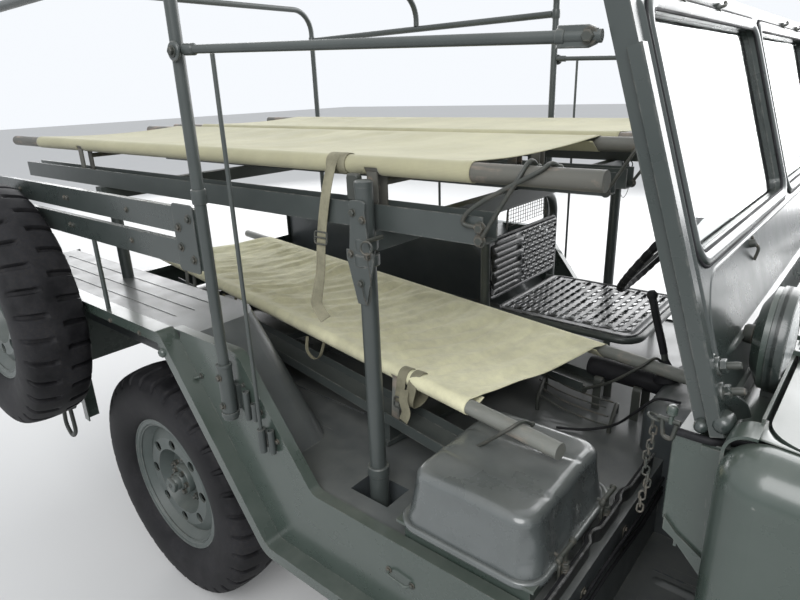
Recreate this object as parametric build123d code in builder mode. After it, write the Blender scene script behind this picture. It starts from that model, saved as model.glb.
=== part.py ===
from build123d import *
from math import cos, radians, sin
import os

os.makedirs("parts", exist_ok=True)

# Quarter ton front line ambulance truck, in millimetres.
# X runs forward, Y to the driver's left, Z up from the ground under the tyres.

# Running gear
wheelbase = 2159.0
track = 1346.0
rear_axle_x = -835.0
front_axle_x = rear_axle_x + wheelbase
tyre_radius = 384.0
tyre_width = 188.0
rim_radius = 208.0

# Body shell
sheet = 4.0
skin_y = 770.0
ledge_y = 812.0
ledge_lip = 26.0
deck_z = 985.0
deck_inner_y = 544.0
deck_front_x = -520.0
house_foot_x = -262.0
floor_z = 690.0
sill_z = 697.0
sill_ledge_z = 507.0
slope_top_x = -335.0
slope_foot_x = -111.0
arch_front_x = -600.0
arch_foot_x = -250.0
arch_rear_x = -1222.0
quarter_foot_z = 520.0
rear_panel_x = -1700.0
tailgate_half_width = 520.0
gate_hinge = (-1705.0, 704.0)
gate_hinge_y = 380.0
gate_barrel = (6.0, 80.0)
gate_ear = 8.0
tailgate_top_z = 836.0

# Cab and front end
step_x = 455.0
footwell_z = 480.0
toe_x = 760.0
firewall_x = 860.0
pillar_x = 600.0
cowl_half_width = 712.0
cowl_top_z = 1098.0
hood_rear_x = 704.0
hood_half_width = 745.0
hood_z = 1148.0
hood_front_drop = 90.0
hood_hinge = (hood_rear_x, hood_z + 7.0)
hood_hinge_y = 450.0
hood_barrel = (5.0, 60.0)
hood_ear = 6.0
fender_rear_x = 662.0
fender_foot_z = 520.0
front_end_x = 1885.0
grille_x = front_end_x - 140.0
frame_y = 300.0
frame_half = 30.0
frame_front_x = grille_x - 5.0
front_arch_half = 455.0
front_arch_top_z = 905.0

# Windshield, leaning back
glass_base_x = 640.0
glass_base_z = 1102.9
glass_lean = 17.7
glass_frame_height = 600.0
glass_frame_half_width = 706.0

# Roof frame and racks
tube_r = 12.5
bow_y = 797.0
bow_top_z = 1927.0
main_bow_x = -345.0
rear_bow_x = -1690.0
middle_bow_x = -1010.0
upper_bar_z = bow_top_z - 137.0
lower_bar_z = bow_top_z - 294.0
rail_bar_height = 58.0
upper_rail_bar_z = 1295.0
lower_rail_bar_z = 1219.0
rack_post_x = -10.0
rack_post_y = 655.0
rack_post_r = 18.0
upper_rail_z = 1316.0
upper_rail_y = 608.0
rail_front_x = 240.0
rail_rear_x = -1724.0

# Litters
litter_length = 2290.0
canvas_length = 1830.0
pole_spacing = 540.0
pole_r = 17.0
upper_litter_front_x = 435.0
upper_litter_y = 604.0
upper_litter_z = 1410.0
lower_litter_front = (374.0, -564.0, 898.0)
lower_litter_skew = 9.4

# Clearances
seat_gap = 0.3

right = -1
left = 1
sides = ((right, "right"), (left, "left"))


def save(part, label):
    part.label = label
    export_step(part, f"parts/{label}.step")


def tube(points, radius, corner=0.0):
    """A round tube that follows a polyline, its corners rounded."""
    with BuildPart() as piece:
        with BuildLine() as path:
            if corner > 0:
                FilletPolyline(*points, radius=corner)
            else:
                Polyline(*points)
        with BuildSketch(Plane(origin=path.line @ 0, z_dir=path.line % 0)):
            Circle(radius)
        sweep()
    return piece.part


# Tyre: a hollow revolved ring with rounded shoulders
half_tyre = tyre_width / 2
bead_half = 60.0 - seat_gap
bead_foot_r = rim_radius + 4 + seat_gap
flange_top = rim_radius + 14
wall_widest_r = 304.0
crown_inner_r = tyre_radius - 32
tyre_profile = (
    (-bead_half, bead_foot_r), (-bead_half, flange_top + seat_gap), (-74, flange_top + 11),
    (-half_tyre, wall_widest_r), (-half_tyre + 5, 350), (-66, tyre_radius - 8), (-20, tyre_radius),
    (20, tyre_radius), (66, tyre_radius - 8), (half_tyre - 5, 350), (half_tyre, wall_widest_r),
    (74, flange_top + 11), (bead_half, flange_top + seat_gap), (bead_half, bead_foot_r),
    (bead_half - 16, bead_foot_r), (half_tyre - 20, wall_widest_r), (50, crown_inner_r),
    (-50, crown_inner_r), (-half_tyre + 20, wall_widest_r), (-bead_half + 16, bead_foot_r),
)
with BuildPart(Plane.XZ) as tyre:
    with BuildSketch(Plane.YZ):
        with BuildLine():
            Polyline(*tyre_profile, close=True)
        make_face()
    revolve(axis=Axis.Y)

# Disc wheel: rim well, dished disc with a raised hub and round vent holes
vent_count = 8
vent_place_r = 134.0
vent_r = 17.0
rim_half = 64.0
well_r = rim_radius - 26
rim_profile = (
    (-rim_half, flange_top), (-rim_half, rim_radius), (-30, well_r), (30, well_r), (rim_half, rim_radius),
    (rim_half, flange_top), (rim_half - 4, flange_top), (rim_half - 4, rim_radius + 4), (28, well_r + 4),
    (-28, well_r + 4), (-rim_half + 4, rim_radius + 4), (-rim_half + 4, flange_top),
)
disc_profile = (
    (-4, 0), (-4, 92), (-46, 112), (-46, 150), (-28, well_r + 1), (-22, well_r + 1), (-40, 148),
    (-40, 116), (2, 96), (2, 0),
)
with BuildPart(Plane.XZ) as wheel:
    for ring_profile in (rim_profile, disc_profile):
        with BuildSketch(Plane.YZ):
            with BuildLine():
                Polyline(*ring_profile, close=True)
            make_face()
        revolve(axis=Axis.Y)
    with PolarLocations(vent_place_r, vent_count):
        Cylinder(vent_r, 3 * rim_half, mode=Mode.SUBTRACT)

wheel_places = (
    ("front_right", front_axle_x, right), ("front_left", front_axle_x, left),
    ("rear_right", rear_axle_x, right), ("rear_left", rear_axle_x, left),
)
print("tyre and wheel done")
for name, axle_x, side in wheel_places:
    turn = 0 if side == right else 180
    place = Location((axle_x, side * track / 2, tyre_radius), (0, 0, turn))
    save(tyre.part.moved(place), f"tyre_{name}")
    save(wheel.part.moved(place), f"wheel_{name}")

# Floor tub: load floor, step, footwell, toe board and firewall in one folded sheet
post_hole = (110.0, 76.0)
cup_foot_z = 599.7
floor_half = skin_y - sheet - seat_gap
house_floor_x = house_foot_x - 6.0
firewall_top_z = cowl_top_z - 40
tunnel_rear_x = 390.0
tunnel_half = 165.0
tunnel_top_z = 826.0
tunnel_round = 46.0
tunnel_outline = (
    (tunnel_rear_x, floor_z), (tunnel_rear_x, tunnel_top_z),
    (firewall_x - 1, tunnel_top_z), (firewall_x - 1, floor_z),
    (toe_x, footwell_z), (step_x, footwell_z), (step_x, floor_z),
)
bore_outline = (
    (tunnel_rear_x + sheet, floor_z - 10), (tunnel_rear_x + sheet, tunnel_top_z - sheet),
    (firewall_x - sheet, tunnel_top_z - sheet), (firewall_x - sheet, floor_z - 40),
    (toe_x + 10, footwell_z - 10),
    (step_x - 10, footwell_z - 10), (step_x - 10, floor_z - 10),
)
with BuildPart() as tunnel:
    with BuildSketch(Plane.XZ.offset(-tunnel_half)):
        with BuildLine():
            Polyline(*tunnel_outline, close=True)
        make_face()
    extrude(amount=2 * tunnel_half)
    round_edges = tunnel.edges().filter_by(Axis.X).group_by(Axis.Z)[-1]
    round_edges += tunnel.edges().filter_by(Axis.Z).group_by(Axis.X)[0]
    round_edges += tunnel.edges().filter_by(Axis.Y).group_by(Axis.X)[0].sort_by(Axis.Z)[-1:]
    fillet(round_edges, tunnel_round)
with BuildPart() as tunnel_bore:
    with BuildSketch(Plane.XZ.offset(-tunnel_half + sheet)):
        with BuildLine():
            Polyline(*bore_outline, close=True)
        make_face()
    extrude(amount=2 * (tunnel_half - sheet))
    round_edges = tunnel_bore.edges().filter_by(Axis.X).group_by(Axis.Z)[-1]
    round_edges += tunnel_bore.edges().filter_by(Axis.Z).group_by(Axis.X)[0]
    round_edges += tunnel_bore.edges().filter_by(Axis.Y).group_by(Axis.X)[0].sort_by(Axis.Z)[-1:]
    fillet(round_edges, tunnel_round - sheet)
with BuildPart() as floor_tub:
    with BuildSketch(Plane.XZ.offset(-floor_half)) as fold:
        with BuildLine():
            Polyline((house_floor_x, floor_z), (step_x, floor_z), (step_x, footwell_z), (toe_x, footwell_z),
                     (firewall_x, floor_z), (firewall_x, firewall_top_z),
                     (firewall_x - sheet, firewall_top_z),
                     (firewall_x - sheet, floor_z + 2), (toe_x - 2, footwell_z + sheet),
                     (step_x + sheet, footwell_z + sheet), (step_x + sheet, floor_z + sheet),
                     (house_floor_x, floor_z + sheet), close=True)
        make_face()
    extrude(amount=2 * floor_half)
    inner_half = deck_inner_y - seat_gap
    with Locations(((rear_panel_x + sheet + house_floor_x) / 2, 0, floor_z + sheet / 2)):
        Box(house_floor_x - rear_panel_x - sheet, 2 * inner_half, sheet)
    for rib_y in (-420, -300, -180, -60, 60, 180, 300, 420):
        with Locations(((rear_panel_x + 80 + house_foot_x) / 2, rib_y, floor_z + sheet + 2)):
            Box(house_foot_x - rear_panel_x - 80, 26, 5)
    add(tunnel.part)
    add(tunnel_bore.part, mode=Mode.SUBTRACT)
    for rib_y in (-660, -520, -400, -280, 280, 400, 520, 660):
        with Locations(((step_x + toe_x) / 2 + 4, rib_y, footwell_z + sheet + 2)):
            Box(toe_x - step_x - 80, 26, 5)
    for side, side_name in sides:
        with Locations((rack_post_x, side * rack_post_y, (cup_foot_z + floor_z) / 2)):
            Box(post_hole[0] + 2 * sheet, post_hole[1] + 2 * sheet, floor_z - cup_foot_z)
        with Locations((rack_post_x, side * rack_post_y, (cup_foot_z + sheet + floor_z + 10) / 2)):
            Box(post_hole[0], post_hole[1], floor_z + 10 - cup_foot_z - sheet, mode=Mode.SUBTRACT)
save(floor_tub.part, "floor_tub")

# Side panels: skin, ledge with a lip along arch and sill, and an inward flange on the upper edge
flange = 27.0
arch_path = (
    (arch_rear_x, quarter_foot_z), (arch_rear_x, deck_z), (arch_front_x, deck_z),
    (arch_foot_x, sill_ledge_z), (fender_rear_x - seat_gap, sill_ledge_z),
)
edge_path = (
    (arch_front_x, deck_z), (slope_top_x, deck_z), (slope_foot_x, sill_z), (fender_rear_x - seat_gap, sill_z),
)
arch_bend = 34.0
for side, side_name in sides:
    skin_from = side * (skin_y - sheet)
    skin_to = side * skin_y
    with BuildPart() as side_panel:
        with BuildSketch(Plane.XZ.offset(-skin_from)) as front_skin:
            with BuildLine():
                Polyline((arch_front_x + arch_bend, deck_z), (slope_top_x, deck_z), (slope_foot_x, sill_z),
                         (fender_rear_x - seat_gap, sill_z), (fender_rear_x - seat_gap, sill_ledge_z),
                         (arch_foot_x, sill_ledge_z), (arch_front_x + arch_bend * 0.5, deck_z - arch_bend),
                         close=True)
            make_face()
            fillet(front_skin.vertices().sort_by_distance((slope_foot_x, -skin_from, sill_z))[0], arch_bend)
        extrude(amount=-side * sheet)
        with BuildSketch(Plane.XZ.offset(-skin_from)):
            with Locations(((rear_panel_x + arch_rear_x) / 2, (quarter_foot_z + deck_z) / 2)):
                Rectangle(arch_rear_x - rear_panel_x, deck_z - quarter_foot_z)
        extrude(amount=-side * sheet)
        with BuildLine() as arch_line:
            FilletPolyline(*[(x, side * skin_y, z) for x, z in arch_path], radius=arch_bend)
        with BuildSketch(Plane(origin=arch_line.line @ 0, x_dir=(0, side, 0), z_dir=(0, 0, 1))):
            with BuildLine():
                Polyline((-sheet, 0), (ledge_y - skin_y - sheet, 0),
                         (ledge_y - skin_y - sheet, -side * ledge_lip),
                         (ledge_y - skin_y, -side * ledge_lip), (ledge_y - skin_y, side * sheet),
                         (-sheet, side * sheet), close=True)
            make_face()
        sweep(path=arch_line.line)
        with BuildLine() as edge_line:
            FilletPolyline(*[(x, side * skin_y, z) for x, z in edge_path], radius=arch_bend)
        with BuildSketch(Plane(origin=edge_line.line @ 0, x_dir=(0, side, 0), z_dir=(1, 0, 0))):
            with BuildLine():
                Polyline((0, 0), (-flange, 0), (-flange, side * sheet), (0, side * sheet), close=True)
            make_face()
        sweep(path=edge_line.line)
    save(side_panel.part, f"side_panel_{side_name}")
print("floor and side panels done")

# Wheelhouses: a hollow sheet box over each rear wheel, its deck grooved and its front end tapered
house_top_z = deck_z + sheet
house_outer_y = skin_y - flange - seat_gap
house_outline = (
    (rear_panel_x + sheet, floor_z + sheet), (rear_panel_x + sheet, house_top_z), (deck_front_x, house_top_z),
    (house_foot_x, floor_z + sheet),
)
inner_outline = (
    (rear_panel_x + sheet, floor_z - 10), (rear_panel_x + sheet, deck_z), (deck_front_x - 2.4, deck_z),
    (house_foot_x - 6, floor_z - 10),
)
house_round = 70.0
for side, side_name in sides:
    with BuildPart() as house_core:
        with BuildSketch(Plane.XZ.offset(-side * (deck_inner_y + sheet))):
            with BuildLine():
                Polyline(*inner_outline, close=True)
            make_face()
        extrude(amount=-side * (skin_y - sheet - deck_inner_y))
        slope_edges = house_core.edges().filter_by(GeomType.LINE).sort_by_distance(
            ((deck_front_x + house_foot_x) / 2, side * (deck_inner_y + sheet), (deck_z + floor_z) / 2))
        fillet(slope_edges[0], house_round - sheet)
    with BuildPart() as wheelhouse:
        with BuildSketch(Plane.XZ.offset(-side * deck_inner_y)):
            with BuildLine():
                Polyline(*house_outline, close=True)
            make_face()
        extrude(amount=-side * (house_outer_y - deck_inner_y))
        slope_edges = wheelhouse.edges().filter_by(GeomType.LINE).sort_by_distance(
            ((deck_front_x + house_foot_x) / 2, side * deck_inner_y, (deck_z + floor_z) / 2))
        fillet(slope_edges[0], house_round)
        add(house_core.part, mode=Mode.SUBTRACT)
        deck_strip_mid = (rear_panel_x + sheet + arch_front_x - seat_gap) / 2
        strip_outer_y = skin_y - sheet - seat_gap
        with Locations((deck_strip_mid, side * (house_outer_y + strip_outer_y) / 2, deck_z + sheet / 2)):
            Box(arch_front_x - seat_gap - rear_panel_x - sheet, strip_outer_y - house_outer_y, sheet)
        for groove_y in (605, 665, 722):
            with Locations(((rear_panel_x + deck_front_x) / 2 - 30, side * groove_y, house_top_z)):
                Box(deck_front_x - rear_panel_x - 240, 9, 3, mode=Mode.SUBTRACT)
    save(wheelhouse.part, f"wheelhouse_{side_name}")

# Rear panel with its side posts, two bumperettes, a tow hook and lifting eyes
panel_half = skin_y - sheet - seat_gap
tow_z = 600.0
eye_place = (330.0, 560.0)
with BuildPart() as rear_panel:
    with Locations((rear_panel_x + sheet / 2, 0, (quarter_foot_z + floor_z - 10) / 2)):
        Box(sheet, 2 * panel_half, floor_z - 10 - quarter_foot_z)
    for side, side_name in sides:
        with Locations((rear_panel_x + sheet / 2, side * (tailgate_half_width + 8 + panel_half) / 2,
                        (floor_z - 10 + house_top_z) / 2)):
            Box(sheet, panel_half - tailgate_half_width - 8, house_top_z - floor_z + 10)
        with Locations((rear_panel_x - 24, side * 400, tow_z), (rear_panel_x - 24, side * 600, tow_z)):
            Box(48, 12, 60)
        with Locations((rear_panel_x - 63, side * 500, tow_z)):
            Box(30, 330, 76)
        with Locations((rear_panel_x - 5, side * eye_place[0], eye_place[1])):
            Box(10, 60, 60)
        for ear_side in (-1, 1):
            ear_y = side * gate_hinge_y + ear_side * (gate_barrel[1] / 2 + seat_gap + gate_ear / 2)
            with Locations((rear_panel_x - 6.5, ear_y, (floor_z - 20 + gate_hinge[1] + 8) / 2)):
                Box(13, gate_ear, gate_hinge[1] + 8 - floor_z + 20)
    with Locations((rear_panel_x - 6, 0, tow_z)):
        Box(12, 120, 110)
    with BuildSketch(Plane.XZ.offset(14)):
        with Locations((rear_panel_x - 44, tow_z)):
            Circle(34)
            Circle(19, mode=Mode.SUBTRACT)
        with Locations((rear_panel_x - 14, tow_z)):
            Rectangle(16, 44)
    extrude(amount=-28)
save(rear_panel.part, "rear_panel")

# Tailgate: a flat gate with a pressed rim, hinged along its lower edge
gate_bottom_z = floor_z + sheet + 8
with BuildPart() as tailgate:
    with Locations((rear_panel_x + sheet / 2, 0, (gate_bottom_z + tailgate_top_z) / 2)):
        Box(sheet, 2 * tailgate_half_width, tailgate_top_z - gate_bottom_z)
    with Locations((rear_panel_x + 11, 0, tailgate_top_z - 10)):
        Box(18, 2 * tailgate_half_width, 20)
    with Locations((rear_panel_x - 2, 0, (gate_bottom_z + tailgate_top_z) / 2)):
        Box(5, 1.6 * tailgate_half_width, 70)
    for side, side_name in sides:
        with Locations(Location((gate_hinge[0], side * gate_hinge_y, gate_hinge[1]), (90, 0, 0))):
            Cylinder(gate_barrel[0], gate_barrel[1])
        for ear_side in (-1, 1):
            ear_y = side * gate_hinge_y + ear_side * (gate_barrel[1] / 2 + seat_gap + gate_ear / 2)
            with Locations((rear_panel_x, ear_y, gate_hinge[1] + 2)):
                Box(24, gate_ear + 2 * seat_gap, 26, mode=Mode.SUBTRACT)
save(tailgate.part, "tailgate")

# Cowl: side pillars, top and dash panel
pillar_foot = ((pillar_x, 952.0), (pillar_x + 14, 934.0), (fender_rear_x, 914.0))
with BuildPart() as cowl:
    for side, side_name in sides:
        with BuildSketch(Plane.XZ.offset(-side * cowl_half_width)):
            with BuildLine():
                Polyline((pillar_x, cowl_top_z), *pillar_foot,
                         (fender_rear_x, sill_z + sheet + 1), (hood_rear_x - 6, sill_z + sheet + 1),
                         (hood_rear_x - 6, cowl_top_z), close=True)
            make_face()
        extrude(amount=side * sheet)
    with Locations(((pillar_x + hood_rear_x - 6) / 2, 0, cowl_top_z - sheet / 2)):
        Box(hood_rear_x - 6 - pillar_x, 2 * cowl_half_width, sheet)
    with Locations((pillar_x + 18, 0, cowl_top_z - 90)):
        Box(sheet, 2 * cowl_half_width, 180)
    with Locations((hood_rear_x - 8, 0, (cowl_top_z - 60 + hood_z + 6) / 2)):
        Box(sheet, 2 * cowl_half_width, hood_z + 66 - cowl_top_z)
    with Locations(((hood_rear_x + firewall_x) / 2 - 5, 0, cowl_top_z - 58)):
        Box(firewall_x - hood_rear_x + 2, 1200, sheet)
    for ear_y in (-hood_hinge_y, hood_hinge_y):
        for ear_side in (-1, 1):
            with Locations((hood_rear_x - 5, ear_y + ear_side * (hood_barrel[1] / 2 + seat_gap + hood_ear / 2),
                            hood_z + 10)):
                Box(20, hood_ear, 8)
save(cowl.part, "cowl")

# Front fenders: side with the wheel arch, rounded rear and top edges, inner apron
fender_round = 52.0
strip_round = 30.0
fender_nose_z = 640.0
blank_foot_z = 300.0
top_band = (900.0, 1200.0)
arch_cut = (
    (fender_rear_x - 10, blank_foot_z - 100), (fender_rear_x - 10, fender_foot_z),
    (front_axle_x - front_arch_half - 10, fender_foot_z), (front_axle_x - 320, front_arch_top_z),
    (front_axle_x + 330, front_arch_top_z), (front_axle_x + front_arch_half - 45, fender_nose_z),
    (grille_x + 10, fender_nose_z), (grille_x + 10, blank_foot_z - 100),
)
for side, side_name in sides:
    with BuildPart() as fender_core:
        with BuildSketch(Plane.XZ.offset(-side * (hood_half_width - 60))):
            with BuildLine():
                Polyline((fender_rear_x + sheet, blank_foot_z), (fender_rear_x + sheet, hood_z - sheet),
                         (grille_x + 1, hood_z - sheet - hood_front_drop), (grille_x + 1, blank_foot_z),
                         close=True)
            make_face()
        extrude(amount=-side * (ledge_y - sheet - hood_half_width + 60))
        core_y = side * (ledge_y - sheet)
        outer_edges = fender_core.edges().filter_by_position(Axis.Y, core_y - 1, core_y + 1)
        rear_edges = fender_core.edges().filter_by_position(Axis.X, fender_rear_x + 3, fender_rear_x + 5)
        rounded = outer_edges.filter_by_position(Axis.Z, *top_band)
        rounded += rear_edges.filter_by_position(Axis.Z, *top_band)
        rounded += rear_edges.filter_by(Axis.Z).sort_by(Axis.Y)[-1 if side == left else 0:][:1]
        fillet(rounded, fender_round - sheet)
    with BuildPart() as fender:
        with BuildSketch(Plane.XZ.offset(-side * (hood_half_width + 6))):
            with BuildLine():
                Polyline((fender_rear_x, blank_foot_z), (fender_rear_x, hood_z),
                         (grille_x, hood_z - hood_front_drop), (grille_x, blank_foot_z), close=True)
            make_face()
        extrude(amount=-side * (ledge_y - hood_half_width - 6))
        outer_edges = fender.edges().filter_by_position(Axis.Y, side * ledge_y - 1, side * ledge_y + 1)
        rear_edges = fender.edges().filter_by_position(Axis.X, fender_rear_x - 1, fender_rear_x + 1)
        rounded = outer_edges.filter_by_position(Axis.Z, *top_band)
        rounded += rear_edges.filter_by_position(Axis.Z, *top_band)
        rounded += rear_edges.filter_by(Axis.Z).sort_by(Axis.Y)[-1 if side == left else 0:][:1]
        fillet(rounded, fender_round)
        add(fender_core.part, mode=Mode.SUBTRACT)
        with BuildSketch(Plane.XZ.offset(-side * (ledge_y + 1))):
            with BuildLine():
                Polyline(*arch_cut, close=True)
            make_face()
        extrude(amount=side * 200, mode=Mode.SUBTRACT)
        closing_y = side * (cowl_half_width + seat_gap + hood_half_width + 10) / 2
        closing_width = hood_half_width + 10 - cowl_half_width - seat_gap
        strip_front_x = hood_rear_x - 5
        with BuildSketch(Plane.XZ.offset(-closing_y + side * closing_width / 2)) as strip:
            with BuildLine():
                Polyline((fender_rear_x, fender_foot_z), (fender_rear_x, hood_z), (strip_front_x, hood_z),
                         (strip_front_x, hood_z - sheet), (fender_rear_x + sheet, hood_z - sheet),
                         (fender_rear_x + sheet, fender_foot_z), close=True)
            make_face()
            fillet(strip.vertices().sort_by_distance((fender_rear_x, hood_z))[0], strip_round)
            inner_corner = strip.vertices().sort_by_distance((fender_rear_x + sheet, hood_z - sheet))[0]
            fillet(inner_corner, strip_round - sheet)
        extrude(amount=-side * closing_width)
    save(fender.part, f"front_fender_{side_name}")
print("rear body, cowl and fenders done")

# Hood: a sheet that falls to the front, with folded edges and two stiffening ribs
hood_length = grille_x - hood_rear_x - 8
with BuildPart() as hood:
    with BuildSketch(Plane.XZ.offset(-hood_half_width)):
        with BuildLine():
            Polyline((hood_rear_x, hood_z), (hood_rear_x + hood_length, hood_z - hood_front_drop),
                     (hood_rear_x + hood_length, hood_z - hood_front_drop - 22),
                     (hood_rear_x, hood_z - 22), close=True)
        make_face()
    extrude(amount=2 * hood_half_width)
    corner_posts = hood.edges().filter_by(Axis.Z)
    fillet(corner_posts, 46)
    bottom = hood.faces().sort_by(SortBy.AREA)[-2:].sort_by(Axis.Z)[0]
    offset(amount=-sheet, openings=bottom)
    for side, side_name in sides:
        with Locations(Location((hood_hinge[0], side * hood_hinge_y, hood_hinge[1]), (90, 0, 0))):
            Cylinder(hood_barrel[0], hood_barrel[1])
        with Locations((hood_rear_x + 30, side * hood_hinge_y, hood_z + 0.5)):
            Box(60, hood_barrel[1], 6)
save(hood.part, "hood")

# Grille panel: a flat front with a bank of slots between two round lamp openings
slot_count = 9
grille_top_z = hood_z - hood_front_drop
lamp_y = 520.0
lamp_z = 880.0
lamp_r = 92.0
with BuildPart() as grille_panel:
    with BuildSketch(Plane.YZ.offset(grille_x + seat_gap)):
        with BuildLine():
            Polyline((-ledge_y, 640), (-ledge_y, grille_top_z - 60), (-ledge_y + 60, grille_top_z),
                     (ledge_y - 60, grille_top_z), (ledge_y, grille_top_z - 60), (ledge_y, 640), close=True)
        make_face()
        with Locations((0, 830)):
            with GridLocations(0, 38, 1, slot_count):
                SlotOverall(760, 20, mode=Mode.SUBTRACT)
        with Locations((-lamp_y, lamp_z), (lamp_y, lamp_z)):
            Circle(lamp_r, mode=Mode.SUBTRACT)
    extrude(amount=sheet)
save(grille_panel.part, "grille_panel")

# Lamps: two headlamps in the grille, four front markers and two tail lamps
with BuildPart() as lamps:
    for side, side_name in sides:
        with BuildSketch(Plane.YZ.offset(grille_x - 60)):
            with Locations((side * lamp_y, lamp_z)):
                Circle(70)
        extrude(amount=40)
        with BuildSketch(Plane.YZ.offset(grille_x - 20)):
            with Locations((side * lamp_y, lamp_z)):
                Circle(lamp_r - seat_gap)
        extrude(amount=30)
        with Locations((grille_x + sheet + 16, side * 700, 960)):
            Box(30, 130, 90)
        with Locations((rear_panel_x - 22, side * 700, 860)):
            Box(43, 76, 90)
save(lamps.part, "lamps")

# Front bumper: a channel on two arms with lifting shackles
bumper_z = 600.0
bumper_half = 640.0
with BuildPart() as front_bumper:
    with Locations((front_end_x - 4, 0, bumper_z)):
        Box(8, 2 * bumper_half, 120)
    with Locations((front_end_x - 34, 0, bumper_z + 56), (front_end_x - 34, 0, bumper_z - 56)):
        Box(60, 2 * bumper_half, 8)
    for side, side_name in sides:
        with Locations(((frame_front_x + seat_gap + front_end_x - 8) / 2, side * frame_y, bumper_z - 20)):
            Box(front_end_x - 8 - frame_front_x - seat_gap, 44, 56)
save(front_bumper.part, "front_bumper")

# Windshield: a frame that leans back, with a pressed lower panel and two panes
lean = radians(glass_lean)
glass_plane = Plane(origin=(glass_base_x, 0, glass_base_z), x_dir=(0, 1, 0), z_dir=(cos(lean), 0, sin(lean)))
pane_low = 224.0
pane_high = 562.0
pane_inner = 14.0
pane_outer = 650.0
frame_depth = 30.0
with BuildPart() as windshield_frame:
    with BuildSketch(glass_plane.offset(-frame_depth / 2)):
        with Locations((0, glass_frame_height / 2)):
            RectangleRounded(2 * glass_frame_half_width, glass_frame_height, 26)
        for side, side_name in sides:
            with Locations((side * (pane_inner + pane_outer) / 2, (pane_low + pane_high) / 2)):
                RectangleRounded(pane_outer - pane_inner, pane_high - pane_low, 34, mode=Mode.SUBTRACT)
    extrude(amount=frame_depth)
    with BuildSketch(glass_plane.offset(-frame_depth / 2)):
        with Locations((0, (pane_low - 20 + 34) / 2)):
            Rectangle(2 * (glass_frame_half_width - 48), pane_low - 54)
    extrude(amount=frame_depth - 8, mode=Mode.SUBTRACT)
save(windshield_frame.part, "windshield_frame")

pane_gap = 0.3
with BuildPart() as windshield_glass:
    with BuildSketch(glass_plane.offset(-3)):
        for side, side_name in sides:
            with Locations((side * (pane_inner + pane_outer) / 2, (pane_low + pane_high) / 2)):
                RectangleRounded(pane_outer - pane_inner - 2 * pane_gap,
                                 pane_high - pane_low - 2 * pane_gap, 34)
    extrude(amount=6)
save(windshield_glass.part, "windshield_glass")

# Roof frame: three bows, long bars between them, and thin drop rods
leg_foot_z = 847.3
bow_corner = 105.0
socket_r = 17.0
socket_z = 900.0
socket_height = 130.0
collar_z = 838.0
bracket_z = 880.0
for label, bow_x, foot_z in (("main_bow", main_bow_x, leg_foot_z), ("rear_bow", rear_bow_x, leg_foot_z),
                             ("middle_bow", middle_bow_x, upper_bar_z + tube_r + seat_gap)):
    save(tube(((bow_x, -bow_y, foot_z), (bow_x, -bow_y, bow_top_z), (bow_x, bow_y, bow_top_z),
               (bow_x, bow_y, foot_z)), tube_r, bow_corner), label)
bar_end_x = 458.0
bar_end_y = 716.0
bar_end_z = 1602.0
bar_end_r = 8.0
drop_rod_x = -246.0
drop_rod_y = bow_y - 9
drop_rod_r = 4.5
drop_rod_top_z = lower_bar_z - 3.4 - bar_end_r - seat_gap
rod_socket_z = 800.0
with BuildPart() as roof_bars:
    for side, side_name in sides:
        add(tube(((rear_bow_x + tube_r + seat_gap, side * bow_y, upper_bar_z),
                  (main_bow_x - tube_r - seat_gap, side * bow_y, upper_bar_z)), tube_r))
        add(tube(((main_bow_x + tube_r + 1, side * bow_y, lower_bar_z),
                  (bar_end_x, side * bar_end_y, bar_end_z)), bar_end_r))
        add(tube(((drop_rod_x, side * drop_rod_y, drop_rod_top_z),
                  (drop_rod_x, side * drop_rod_y, rod_socket_z - 10)), drop_rod_r))
save(roof_bars.part, "roof_bars")

# Bow sockets on the body sides
with BuildPart() as bow_sockets:
    for side, side_name in sides:
        for bow_x in (main_bow_x, rear_bow_x):
            with Locations((bow_x, side * bow_y, socket_z)):
                Cylinder(socket_r, socket_height)
                Cylinder(tube_r + seat_gap, socket_height + 10, mode=Mode.SUBTRACT)
            with Locations((bow_x, side * bow_y, collar_z)):
                Cylinder(socket_r, 18)
            with Locations((bow_x, side * (skin_y + 5.2), bracket_z)):
                Box(30, 10, 60)
        with Locations((drop_rod_x, side * drop_rod_y, rod_socket_z)):
            Cylinder(2 * drop_rod_r, 60)
            Cylinder(drop_rod_r + seat_gap, 70, mode=Mode.SUBTRACT)
        with Locations((drop_rod_x, side * (skin_y + 4.9), rod_socket_z)):
            Box(16, 9.4, 40)
save(bow_sockets.part, "bow_sockets")
print("front end, windshield and bows done")

# Side rails: two planks per side between the bows, joined by a plate at the main bow
rail_thick = 14.0
with BuildPart() as side_rails:
    for side, side_name in sides:
        rail_from = rear_bow_x + tube_r + seat_gap
        rail_to = main_bow_x - tube_r - seat_gap
        for rail_z in (upper_rail_bar_z, lower_rail_bar_z):
            with Locations(((rail_from + rail_to) / 2, side * bow_y, rail_z)):
                Box(rail_to - rail_from, rail_thick, rail_bar_height)
        with Locations((rail_to - 32, side * bow_y, (upper_rail_bar_z + lower_rail_bar_z) / 2)):
            Box(64, rail_thick, upper_rail_bar_z - lower_rail_bar_z)
        rod_top = lower_rail_bar_z - rail_bar_height / 2
        with Locations((arch_front_x - 294, side * bow_y, (house_top_z + seat_gap + rod_top) / 2)):
            Cylinder(6, rod_top - house_top_z - seat_gap)
save(side_rails.part, "side_rails")

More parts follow.
